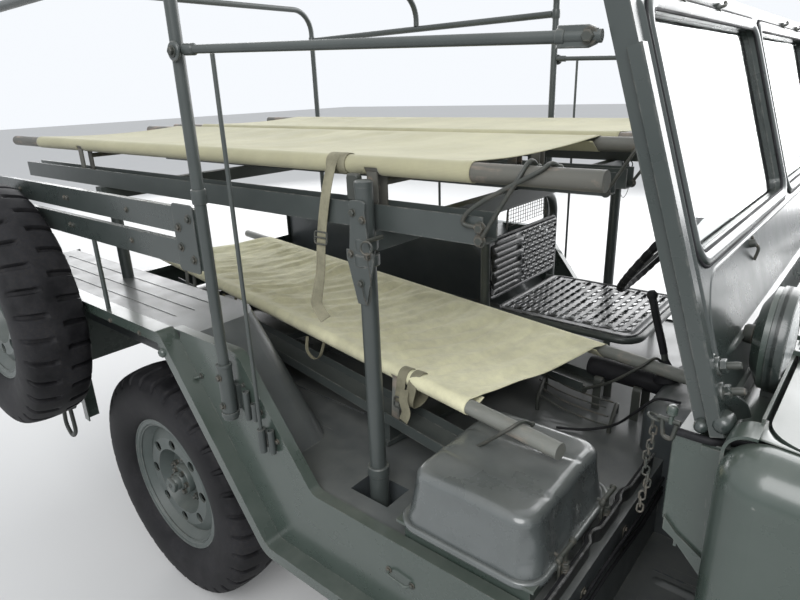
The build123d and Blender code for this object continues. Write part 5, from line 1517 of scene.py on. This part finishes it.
def addCowlTrim(settings):
    painted, rubber, dark = [], [], []
    for side in (-1, 1):
        for key, thick, bevel in (("leaf", 0.0032, 0.0009), ("lip", 0.005, 0.0015)):
            painted.append(slab(np.array(settings[key]) * (-side, 1), (0, side * settings["y"], 0), (0, side, 0),
                                thick, bevel, across=(-side, 0, 0)))
        painted.append(sweepProfile(spread(mirrored(settings["hem"], side), 6), circle(0.0042, 10)))
        rubber.append(wire(mirrored(settings["top"], side), 0.0058, 24, 10))
        # Bracket on the floor below the door opening
        place = mirrored(settings["bracket"], side)
        painted.append(plate(0.05, 0.03, 0.006, 4, place, sky, 0.004, 0.001))
        dark += boltHeads([place + (x, 0, 0.004) for x in (-0.012, 0.014)], sky, 0.0065, 0.005, 0.009)
    addPiece("cowl_leaves", painted, olivePaint, autoAngle=35.0)
    addPiece("cowl_rubber", rubber, sealRubber)
    addPiece("cowl_bolts", dark, boltPaint)


# Fender tops: a filler under the hood's corner and edge, so that the seam is a thin line
hoodSeam = {
    "rear": 0.704,
    "half": 0.745,
    "level": 1.148,
    "fall": 0.09,
    "length": 1.033,
    "corner": 0.046,
    "gap": 0.0025,
    "reach": 0.0068,       # how far the filler goes out under the fender's edge
    "reachRear": 0.006,
    "latches": (0.28, 0.86),
    # start, end, points, place across, width, height, taper and columns of each rib
    "ribs": ((0.11, 0.93, 80, -0.3, 0.046, 0.008, 0.08, 13), (0.11, 0.93, 80, 0.3, 0.046, 0.008, 0.08, 13),
             (0.16, 0.9, 60, 0.0, 0.03, 0.005, 0.08, 11)),
    "hingeBolts": ((0.018, 0.434), (0.018, 0.466), (0.046, 0.434), (0.046, 0.466)),
}


def addHoodSeam(settings):
    rear, half, length = settings["rear"], settings["half"], settings["length"]
    radius = settings["corner"] + settings["gap"]
    centre = (rear + settings["corner"], half - settings["corner"])
    arc = np.linspace(0, np.pi / 2, 16)
    inner = np.column_stack([centre[0] - radius * np.cos(arc), centre[1] + radius * np.sin(arc)])
    outer = np.column_stack([np.full(16, rear - settings["reachRear"]), np.full(16, half + settings["reach"])])
    outer[:8, 1] = np.linspace(centre[1], half + settings["reach"], 8)
    outer[8:, 0] = np.linspace(rear - settings["reachRear"], centre[0], 8)
    run = np.linspace(centre[0], rear + length, 40)[1:]
    inner, outer = (np.vstack([line, np.column_stack([run, np.full(len(run), half + settings[key])])])
                    for line, key in ((inner, "gap"), (outer, "reach")))

    def fallen(x, below):
        return settings["level"] - below - settings["fall"] * np.clip((x - rear) / length, 0, 1)

    t = np.linspace(0, 1, 5)[None, :, None]
    flat = outer[:, None, :] * (1 - t) + inner[:, None, :] * t
    z = fallen(flat[..., 0], np.array((0.0012, 0.0012, 0.0012, 0.0012, 0.0042)))
    leaf = np.concatenate([flat, z[..., None]], -1)
    leaf = np.concatenate([leaf, leaf[:, -1:, :] - (0, 0, 0.03)], 1)
    line = np.column_stack([inner - (0, 0.0002), fallen(inner[:, 0], 0.012)])
    shapes = [(mirrored(leaf, side), gridFaces(len(leaf), 6)) for side in (-1, 1)]
    thicken(addPiece("fender_seam_leaves", shapes, olivePaint), 0.0012)
    strips = [sweepProfile(mirrored(line, side), circle(0.0018, 6)) for side in (-1, 1)]
    addPiece("hood_seam_rubber", strips, sealRubber)


# Hood: stiffening ribs, side latches, a footman loop and the hinge leaves' bolts
def addHoodFittings(settings):
    slope = math.atan2(settings["fall"], settings["length"])
    top = onPanel((settings["rear"], 0.0, settings["level"]), (math.cos(slope), 0, -math.sin(slope)), left)
    ribs = [straightRib(*rib[:6], top, *rib[6:]) for rib in settings["ribs"]]
    addPiece("hood_ribs", ribs, olivePaint, "hood")
    steel = []
    for side in (-1, 1):
        for x in settings["latches"]:
            foot = top(x, side * settings["half"], -0.014)
            steel.append(plate(0.044, 0.018, 0.004, 4, foot, (0, side, 0), 0.004, 0.001, across=fore))
            steel.append(rod([foot + (-0.014, side * 0.004, 0), foot + (-0.014, side * 0.011, -0.006),
                              foot + (0.014, side * 0.011, -0.006), foot + (0.014, side * 0.004, 0)], 0.0028, 0.006, 8))
        steel += boltHeads([(settings["rear"] + x, side * y, settings["level"] + 0.0035)
                            for x, y in settings["hingeBolts"]], sky, 0.0055, 0.004)
    steel.append(loopShape(top(0.42, -0.06, 0.0005), top(0.42, 0.06, 0.0005), sky, 0.016, 0.0034))
    addPiece("hood_fittings", steel, boltPaint, "hood")


# Lamps and mirror: ribbed lenses, painted rims, a plain mirror face
lamps = {
    "head": (1.7555, 0.52, 0.88),
    "marker": (1.7805, 0.7, 0.96),
    "tail": (-1.744, 0.7, 0.86),
    "spot": (0.687, -0.522, 1.188),
    "spotBand": ((0.076, -0.012), (0.0785, -0.011), (0.0785, -0.001), (0.076, 0.0)),
    "spotBoss": ((0.0001, 0.019), (0.011, 0.019), (0.014, 0.016), (0.015, 0.006), (0.022, 0.001), (0.025, -0.004)),
    "mirror": (0.63, 0.931, 1.31),
    "mirrorJoint": ((0.0001, 0.014), (0.009, 0.011), (0.013, 0.005), (0.013, 0.0), (0.02, -0.004)),
    "bezel": ((-0.006, -0.0005), (-0.005, 0.0035), (0.0, 0.0045), (0.0045, 0.003), (0.0048, -0.012), (0.003, -0.012)),
}


def lensShape(centre, axis, radius, crown, rings=22, count=72, ribs=0.0006):
    # Dome whose height falls with the square of the radius, with fine vertical flutes
    a, b, c = basis(axis)
    r = np.linspace(0.002, radius, rings)[:, None]
    across = r * np.cos(turns(count))
    height = crown * (1 - (r / radius) ** 2) + ribs * np.cos(across / radius * np.pi * 14)
    points = (np.asarray(centre, float) + across[..., None] * a + (r * np.sin(turns(count)))[..., None] * b
              + height[..., None] * c)
    return points, tubeFaces(rings, count, last=False)


def rimShape(centre, axis, radius, width, height, count=64):
    # Turned ring with a rolled outer edge
    return lathe([(radius - width, 0.0), (radius - width, height * 0.7), (radius - 0.7 * width, height),
                  (radius - 0.2 * width, height * 0.9), (radius, height * 0.45), (radius, -height * 0.6)],
                 centre, axis, count)


def addLamps(settings):
    clear, red, amber, rims, dark = [], [], [], [], []
    for side in (-1, 1):
        head, marker, tail = (mirrored(settings[key], side) for key in ("head", "marker", "tail"))
        clear.append(lensShape(head + (0.002, 0, 0), fore, 0.081, 0.016))
        rims.append(rimShape(head, fore, 0.0915, 0.014, 0.01))
        dark.append(lathe([(0.08, 0.0), (0.08, -0.001), (0.0001, -0.001)], head + (0.001, 0, 0), fore, 48))
        clear.append(lensShape(marker + (0, side * 0.028, 0), fore, 0.026, 0.01, 12, 40, 0.0004))
        amber.append(lensShape(marker - (0, side * 0.03, 0), fore, 0.022, 0.009, 12, 40, 0.0004))
        for shift, radius in ((0.028, 0.03), (-0.03, 0.026)):
            rims.append(rimShape(marker + (-0.002, side * shift, 0), fore, radius, 0.005, 0.006, 40))
        dark += boltHeads([marker + (0, y, z) for z in (0.036, -0.036) for y in (0.058, -0.058)], fore, 0.0045, 0.003)
        red.append(lensShape(tail + (0, 0, 0.018), aft, 0.027, 0.01, 14, 40, 0.0004))
        amber.append(lensShape(tail - (0, 0, 0.028), aft, 0.013, 0.006, 10, 28, 0.0003))
        rims.append(rimShape(tail + (0.002, 0, 0.018), aft, 0.0305, 0.005, 0.006, 40))
        rims.append(rimShape(tail + (0.002, 0, -0.028), aft, 0.0155, 0.004, 0.005, 28))
    # Spot lamp seen from behind: rim band and boss on the bowl, a lens in front
    bowl = np.array(settings["spot"])
    clear.append(lensShape(bowl + (0.0005, 0, 0), fore, 0.068, 0.009, 18, 60))
    rims.append(rimShape(bowl - (0.004, 0, 0), fore, 0.0785, 0.011, 0.01, 60))
    rims.append(lathe(settings["spotBand"], bowl - (0.004, 0, 0), fore, 60))
    dark.append(lathe(settings["spotBoss"], bowl - (0.037, 0, 0), aft))
    addPiece("lamp_lenses", clear, lensGlass)
    addPiece("lamp_lenses_red", red, redLens)
    addPiece("lamp_lenses_amber", amber, amberLens)
    addPiece("lamp_rims", rims, framePaint)
    addPiece("lamp_screws", dark, boltPaint)
    # Mirror: raised bezel round a slightly domed glass, with its ball joint behind
    back = onPanel(settings["mirror"], (0, -1, 0), sky)
    face = roundedRectangle(0.132, 0.162, 0.018, 8)
    share = np.linspace(0.02, 1, 14)[:, None]
    dome = back(face[:, 0] * share, face[:, 1] * share, 0.0008 + 0.0014 * (1 - share ** 2))
    addPiece("mirror_face", [(dome, tubeFaces(14, len(face), last=False))], mirrorGlass)
    bezel = [trimRing(roundedRectangle(0.14, 0.17, 0.02, 8), settings["bezel"], back),
             lathe(settings["mirrorJoint"], (0.652, 0.931, 1.262), fore, 26)]
    addPiece("mirror_bezel", bezel, olivePaint)


# Cab: levers, pedals, pipes, tool roll and rods under the litter, the steering wheel's grips and button
cab = {
    "gearLever": ((0.405, 0.0, 0.822), (0.387, 0.0, 0.895), (0.365, 0.0, 0.965), (0.343, 0.0, 1.04)),
    "gearKnob": ((0.0001, 0.013), (0.008, 0.011), (0.0125, 0.004), (0.0125, -0.006), (0.008, -0.012)),
    "gearBoot": ((0.036, 0.0), (0.033, 0.008), (0.025, 0.014), (0.024, 0.024), (0.015, 0.034), (0.009, 0.052)),
    "sticks": ((0.075, 0.43), (0.12, 0.41)),     # place across and x of the tip
    "stickPath": ((0.47, 0.824), (0.455, 0.88)),
    "stickTop": 0.96,
    "stickKnob": ((0.0001, 0.017), (0.011, 0.014), (0.0165, 0.004), (0.015, -0.008), (0.008, -0.015),
                  (0.005, -0.016)),
    "stickBoot": ((0.022, 0.0), (0.019, 0.008), (0.011, 0.014), (0.0065, 0.026)),
    "pedals": ((0.3, 0.06), (0.47, 0.06), (0.58, 0.046)),
    "pedalArm": ((0.845, 0.86), (0.8, 0.76), (0.745, 0.7)),
    "pedalFace": (-0.78, 0, 0.62),
    "pipes": ((0.65, 0.0), (0.632, 0.018), (0.61, 0.005)),
    "pipeClips": (-0.62, -0.41, -0.12),
    "roll": ((0.0001, 0.115), (0.015, 0.113), (0.024, 0.104), (0.028, 0.09), (0.0285, -0.085), (0.024, -0.102),
             (0.0001, -0.106)),
    "saddles": (0.235, 0.34),
    "saddle": ((-0.03, 0.6945), (-0.03, 0.795), (0.012, 0.77), (0.054, 0.795), (0.054, 0.6945)),
    "looseRods": ((0.085, -0.035, 0.742), (0.075, -0.062, 0.736), (0.095, -0.094, 0.73), (0.11, -0.124, 0.722)),
    "rodShape": ((0.0, 0.01, 0.01), (0.07, 0.002, -0.004), (0.15, 0.0, -0.01), (0.2, 0.004, -0.012)),
    "stands": (((0.08, -0.02, 0.696), (0.08, -0.02, 0.752), (0.11, -0.13, 0.736), (0.11, -0.13, 0.696)),
               ((0.29, -0.02, 0.696), (0.292, -0.026, 0.732), (0.312, -0.126, 0.712), (0.312, -0.13, 0.696))),
    "sling": ((0.196, -0.19, 0.699), (0.262, -0.165, 0.705), (0.33, -0.15, 0.735), (0.38, -0.15, 0.79),
              (0.42, -0.14, 0.833), (0.47, -0.12, 0.831)),
    "wheelMiddle": (0.262, 0.385, 1.085),
    "wheelLean": 35.0,
    "wheelRadius": 0.196,
    "button": ((0.0001, 0.013), (0.014, 0.0115), (0.021, 0.006), (0.0225, 0.0005), (0.032, -0.0005),
               (0.0345, -0.006), (0.0345, -0.028)),
}


def gripShape(middle, axis, radius):
    # Torus whose wire swells and thins 36 times round the rim
    a, b, axis = basis(axis)
    turn, small = turns(180), turns(12)
    swell = (0.0118 + 0.0007 * np.cos(turn * 36))[:, None]
    out = np.cos(turn)[:, None] * a + np.sin(turn)[:, None] * b
    points = (middle + (radius + swell * np.cos(small))[..., None] * out[:, None, :]
              + (swell * np.sin(small))[..., None] * axis)
    return points, gridFaces(180, 12, True, True)


def addCabFittings(settings):
    black, metal, cable = [], [], []
    lever = curve(settings["gearLever"], 26)
    metal.append(sweepProfile(lever[:20], circle(0.0085)))
    black.append(ribbon(lever[8:], left, 0.024, 0.016, 0.8))
    black.append(lathe(settings["gearKnob"], lever[-1], lever[-1] - lever[-3], 20))
    black.append(lathe(settings["gearBoot"], (0.405, 0.0, 0.824), (-0.25, 0, 1), 28))
    for y, tip in settings["sticks"]:
        stick = curve([(x, y, z) for x, z in (*settings["stickPath"], (tip, settings["stickTop"]))], 16)
        metal.append(sweepProfile(stick, circle(0.0055, 10)))
        black.append(lathe(settings["stickKnob"], stick[-1], stick[-1] - stick[-3], 22))
        black.append(lathe(settings["stickBoot"], (0.47, y, 0.825), sky, 22))
    face = np.array(settings["pedalFace"])
    for y, width in settings["pedals"]:
        arm = curve([(x, y, z) for x, z in settings["pedalArm"]], 16)
        pad = arm[-1] + (0.004, 0, 0)
        metal.append(sweepProfile(arm, circle(0.008, 10)))
        black.append(plate(width, 0.064, 0.01, 5, pad, face, 0.01, 0.002, across=left))
        place = onPanel(pad + 0.01 * face, left, (-0.62, 0, -0.78))
        black += [straightRib(0.008 - width / 2, width / 2 - 0.008, 12, level, 0.007, 0.0026, place, 0.004, 5)
                  for level in np.linspace(-0.022, 0.022, 5)]
    # Pipes along the step's riser, and their clips
    for low, shift in settings["pipes"]:
        cable.append(wire([(0.464, 0.2, low + 0.008), (0.464, -0.05, low), (0.4655, -0.3, low - 0.006 - shift),
                           (0.464, -0.52, low + shift), (0.464, -0.755, low + 0.004)], 0.0036, 60))
    for y in settings["pipeClips"]:
        metal.append(plate(0.02, 0.07, 0.005, 4, (0.4592, y, 0.632), fore, 0.0022, 0.0006, across=left))
        metal.append(boltHead((0.4614, y, 0.66), fore, 0.005, 0.004))
    # Tool roll on two saddles, loose rods, their two stands and a sling cable
    black.append(lathe(settings["roll"], (0.296, 0.012, 0.7995), (0.985, -0.02, -0.01), 36))
    for x in settings["saddles"]:
        saddle = bentPath([(x, y, z) for y, z in settings["saddle"]], 0.026, 7)
        metal.append(ribbon(saddle, fore, 0.022, 0.004))
    metal += [wire(np.array(start) + settings["rodShape"], 0.0024, 30) for start in settings["looseRods"]]
    metal += [rod(corners, 0.0055, 0.02, 10) for corners in settings["stands"]]
    cable.append(wire(settings["sling"], 0.0034, 50))
    # Steering wheel: finger grips under the rim, and a plain horn button
    lean = math.radians(settings["wheelLean"])
    axis = (-math.cos(lean), 0, math.sin(lean))
    middle = np.array(settings["wheelMiddle"])
    grip = gripShape(middle, axis, settings["wheelRadius"])
    addPiece("wheel_grip", [grip], gripPlastic, "steering_wheel")
    button = lathe(settings["button"], middle, axis, 40)
    addPiece("horn_button", [button], gripPlastic, "steering_wheel")
    addPiece("cab_levers", black, gripPlastic)
    addPiece("cab_rods", metal, boltPaint)
    addPiece("cab_pipes", cable, sealRubber)


# Wire mesh screen above the seat back, in a bent rod frame
screen = {"x": -0.242, "y": (0.3, 0.575), "z": (1.086, 1.152), "wires": (17, 6)}


def addMeshScreen(settings):
    (y0, y1), (z0, z1) = settings["y"], settings["z"]
    place = onPanel((settings["x"], 0.0, 0.0), left, sky)
    upright, level = settings["wires"]
    wires = [rod([place(y, z, 0.001) for z in (z0, z1)], 0.001, sides=5) for y in np.linspace(y0, y1, upright)]
    wires += [rod([place(y, z, -0.001) for y in (y0, y1)], 0.001, sides=5) for z in np.linspace(z0, z1, level)]
    corners = ((y0 - 0.01, z0 - 0.008), (y0 - 0.004, z1), (y1 + 0.004, z1), (y1 + 0.01, z0 - 0.008))
    wires.append(rod([place(y, z, 0.0) for y, z in corners], 0.0032, 0.02, 8))
    addPiece("mesh_screen", wires, boltPaint)


# Rear and front: bumper and rear panel bolts, shackles, hooks and rings, the tailgate's ribs and chains
endFittings = {
    "rear": -1.7,
    "bumperBolts": (1.879, (0.3, 0.56), (0.572, 0.628)),
    "bumperetteBolts": (-1.778, (0.4, 0.6), (0.586, 0.614)),
    "shackle": ((1.78, 0.44, 0.664), (1.78, 0.44, 0.735), (1.78, 0.48, 0.752), (1.78, 0.52, 0.735),
                (1.78, 0.52, 0.664)),
    "hook": ((-1.704, 0.545, 0.812), (-1.718, 0.545, 0.815), (-1.722, 0.545, 0.8), (-1.713, 0.545, 0.786)),
    "panelBolts": ((0.56, 0.56), (0.56, 0.74), (0.56, 0.96), (0.64, 0.56), (0.64, 0.74), (0.64, 0.96),
                   (0.72, 0.56), (0.72, 0.74), (0.72, 0.96)),
    "links": 9,
}


def addEnds(settings):
    dark, painted, gate, links = [], [], [], []
    rear = settings["rear"]
    for side in (-1, 1):
        for key, axis, radius, height in (("bumperBolts", fore, 0.01, 0.0055), ("bumperetteBolts", aft, 0.008, 0.005)):
            x, across, levels = settings[key]
            dark += boltHeads([(x, side * y, z) for y in across for z in levels], axis, radius, height)
        painted.append(sweepProfile(bentPath(mirrored(settings["shackle"], side), 0.034, 8), circle(0.0085)))
        dark += boltHeads([(rear, side * y, z) for y, z in settings["panelBolts"]], aft, 0.0055, 0.004, 0.0078)
        painted.append(plate(0.06, 0.028, 0.006, 4, (rear, side * 0.545, 0.8), aft, 0.004, 0.001))
        dark.append(wire(mirrored(settings["hook"], side), 0.0042, 16, 10))
        dark.append(wireRing((-1.7135, side * 0.33, 0.552), (1, 0.2 * side, 0.1), 0.02, 0.0048, 30, 10))
        gate.append(plate(0.046, 0.022, 0.005, 4, (rear, side * 0.49, 0.815), aft, 0.0035, 0.001, across=left))
        for k in range(settings["links"]):
            middle = (rear - 0.012, side * (0.492 - 0.003 * math.sin(k)), 0.806 - 0.0125 * k)
            links.append(oval(middle, (0.0, 0.08 * math.sin(k * 1.7), 1.0), (1, 0.4, 0) if k % 2 else (0.4, -1, 0),
                              0.0185, 0.012, 0.0018, 18, 6))
    addPiece("end_bolts", dark, boltPaint)
    addPiece("front_shackles", painted, olivePaint)
    place = onPanel((rear, 0.0, 0.77), (0, -1, 0), sky)
    ribs = [straightRib(-0.46, 0.46, 50, level, 0.02, 0.0055, place, 0.03) for level in (-0.052, 0.05)]
    addPiece("tailgate_ribs", ribs, olivePaint, "tailgate")
    addPiece("tailgate_fittings", gate + links, boltPaint, "tailgate")


addCowlTrim(cowlTrim)
addHoodSeam(hoodSeam)
addHoodFittings(hoodSeam)
addLamps(lamps)
addCabFittings(cab)
addMeshScreen(screen)
addEnds(endFittings)
print("cowl, hood, lamps, cab and end fittings made")

# Floor edge in front of the battery box, with its kinked double flange; embossed footwell floor; foot fillers
floorEdge = {
    "x": 0.4455,
    "floor": 0.694,
    "height": 0.034,
    "kinks": ((-0.752, 0.0), (-0.566, 0.0), (-0.552, -0.009), (-0.528, -0.009), (-0.514, 0.0), (-0.412, 0.0),
              (-0.398, -0.007), (-0.372, -0.007), (-0.358, 0.0), (-0.205, 0.0)),
    "footwell": 0.4842,
    "ribs": (0.64, 0.56, 0.48, 0.4, 0.32),
    "filler": ((-0.33, 0.53), (-0.236, 0.53), (-0.236, 0.655), (-0.33, 0.655)),
}


def addFloorEdge(settings):
    height = settings["height"]

    def kinked(shift, rise):
        return bentPath([(settings["x"] + shift + out, y, settings["floor"] + rise) for y, out in settings["kinks"]],
                        0.01, 5)

    flange = [ribbon(kinked(shift, tall / 2), sky, tall, 0.0026, 0.3)
              for shift, tall in ((0.0, height), (-0.011, height * 0.72))]
    lip = kinked(0.0012, height)
    flange.append(sweepProfile(lip, circle(0.003, 8)))
    addPiece("floor_edge_flange", flange, seatPaint)
    seal = sweepProfile(lip - (0.007, 0, 0.0065), circle(0.0042, 8))
    addPiece("floor_edge_seal", [seal], sealRubber)
    place = onPanel((0.0, 0.0, settings["footwell"]), fore, left)
    ribs = [straightRib(0.5, 0.735, 40, side * y, 0.032, 0.006, place, 0.03, 11)
            for side in (-1, 1) for y in settings["ribs"]]
    addPiece("footwell_ribs", ribs, deckPaint)
    fillers = [slab((np.array(settings["filler"]) * (1, side))[::side], (0, 0, 0.6902), sky, 0.0034, 0.0005,
                    across=fore) for side in (-1, 1)]
    addPiece("foot_fillers", fillers, deckPaint)


addFloorEdge(floorEdge)
print("floor edge and footwell ribs made")

# Engine bay: ribbed cover, air cleaner, filler cap, manifolds, fan and pulleys, radiator fins and hoses
engineBay = {
    "middle": (1.192, 0.0),
    "top": 1.01,
    "front": 0.2875,
    "radiator": 1.645,
    "coverMiddle": -0.06,
    "coverSize": (0.46, 0.15, 0.03),
    "coverHeight": 0.026,
    "coverRibs": np.linspace(-0.19, 0.19, 9),
    "fanLevel": -0.17,
    "filler": ((0.0001, 0.018), (0.02, 0.017), (0.026, 0.012), (0.026, 0.002), (0.022, -0.004)),
    "cleaner": ((0.0001, 0.046), (0.07, 0.044), (0.079, 0.038), (0.08, 0.01), (0.074, 0.002), (0.04, 0.0)),
    "manifolds": ((-1, 0.11), (1, 0.12)),
    "pulleys": ((-0.17, 0.046), (-0.33, 0.07)),
}


def fanBlade(middle, angle):
    # Sheet that widens with the radius and leans forward across its width
    x, y, z = middle
    r = np.linspace(0.03, 0.15, 12)[:, None]
    w = np.linspace(-1, 1, 9)[None, :]
    turn = angle + w * (0.024 + (r - 0.03) / 6) / r
    return np.stack([x + 0.014 * w + 0 * r, y + r * np.cos(turn), z + r * np.sin(turn)], -1), gridFaces(12, 9)


def addEngineBay(settings):
    x, y = settings["middle"]
    top = settings["top"]
    coverY = y + settings["coverMiddle"]
    cast = [plate(*settings["coverSize"], 7, (x, coverY, top), sky, settings["coverHeight"], 0.006, across=fore)]
    cover = onPanel((x, y, top + 0.0258), fore, left)
    cast += [straightRib(-0.125, 0.005, 14, shift, 0.012, 0.004, cover, 0.02, 7, True)
             for shift in settings["coverRibs"]]
    black = boltHeads([(x + shift, coverY + side * 0.069, top + settings["coverHeight"]) for shift in (-0.2, 0.0, 0.2)
                       for side in (-1, 1)], sky, 0.006, 0.006)
    black.append(lathe(settings["filler"], (x + 0.15, coverY, top + 0.03), sky, 28))
    # Round air cleaner with its wing nut, set low enough to clear the shut hood
    black.append(lathe(settings["cleaner"], (x - 0.06, y + 0.105, top), sky, 48))
    cast.append(rod([(x - 0.06, y + end, top + 0.05) for end in (0.085, 0.125)], 0.004, sides=8))
    for side, level in settings["manifolds"]:
        low = top - level
        for k in range(4):
            start = x - 0.17 + 0.105 * k
            cast.append(wire([(start, y + side * 0.2, low), (start, y + side * 0.225, low - 0.01),
                              (start + 0.006, y + side * 0.238, low - 0.06)], 0.016, 14, 12))
        cast.append(rod([(x + end, y + side * 0.238, low - 0.066) for end in (-0.21, 0.19)], 0.024, sides=18))
    # Fan with four bent blades before the radiator, belt pulleys on the engine's front
    front = x + settings["front"]
    fan = (front + 0.03, y, top + settings["fanLevel"])
    blades = [fanBlade(fan, math.radians(45 + 90 * k)) for k in range(4)]
    thicken(addPiece("fan_blades", blades, boltPaint), 0.0022)
    for z, radius in settings["pulleys"]:
        groove = [(0.0001, 0.024), (radius - 0.006, 0.024), (radius, 0.022), (radius - 0.008, 0.012), (radius, 0.002),
                  (radius - 0.006, 0.0)]
        black.append(lathe(groove, (front, y, top + z), fore, 40))
    # Radiator core: fine upright fins as a wave across the sheet
    core = onPanel((settings["radiator"], 0.0, top + settings["fanLevel"]), (0, -1, 0), sky)
    u = np.linspace(-0.27, 0.27, 541)[:, None]
    fins = core(u, np.linspace(-0.165, 0.135, 3), 0.003 + 0.0022 * np.cos(u * 2 * np.pi / 0.012))
    addPiece("radiator_fins", [(fins, gridFaces(541, 3))], boltPaint)
    pipes = [wire([(front - 0.04, y + 0.06, top + 0.004), (front + 0.02, y + 0.062, top + 0.022),
                   (settings["radiator"] - 0.004, y + 0.12, top - 0.014)], 0.021, 30, 16),
             wire([(x - 0.28, y - 0.12, top - 0.05), (x - 0.307, y - 0.17, top - 0.03),
                   (x - 0.327, y - 0.21, top - 0.06)], 0.011, 24, 12)]
    addPiece("engine_hoses", pipes, sealRubber)
    addPiece("engine_castings", cast, chassisPaint)
    addPiece("engine_fittings", black, gripPlastic)


addEngineBay(engineBay)
print("engine bay made")
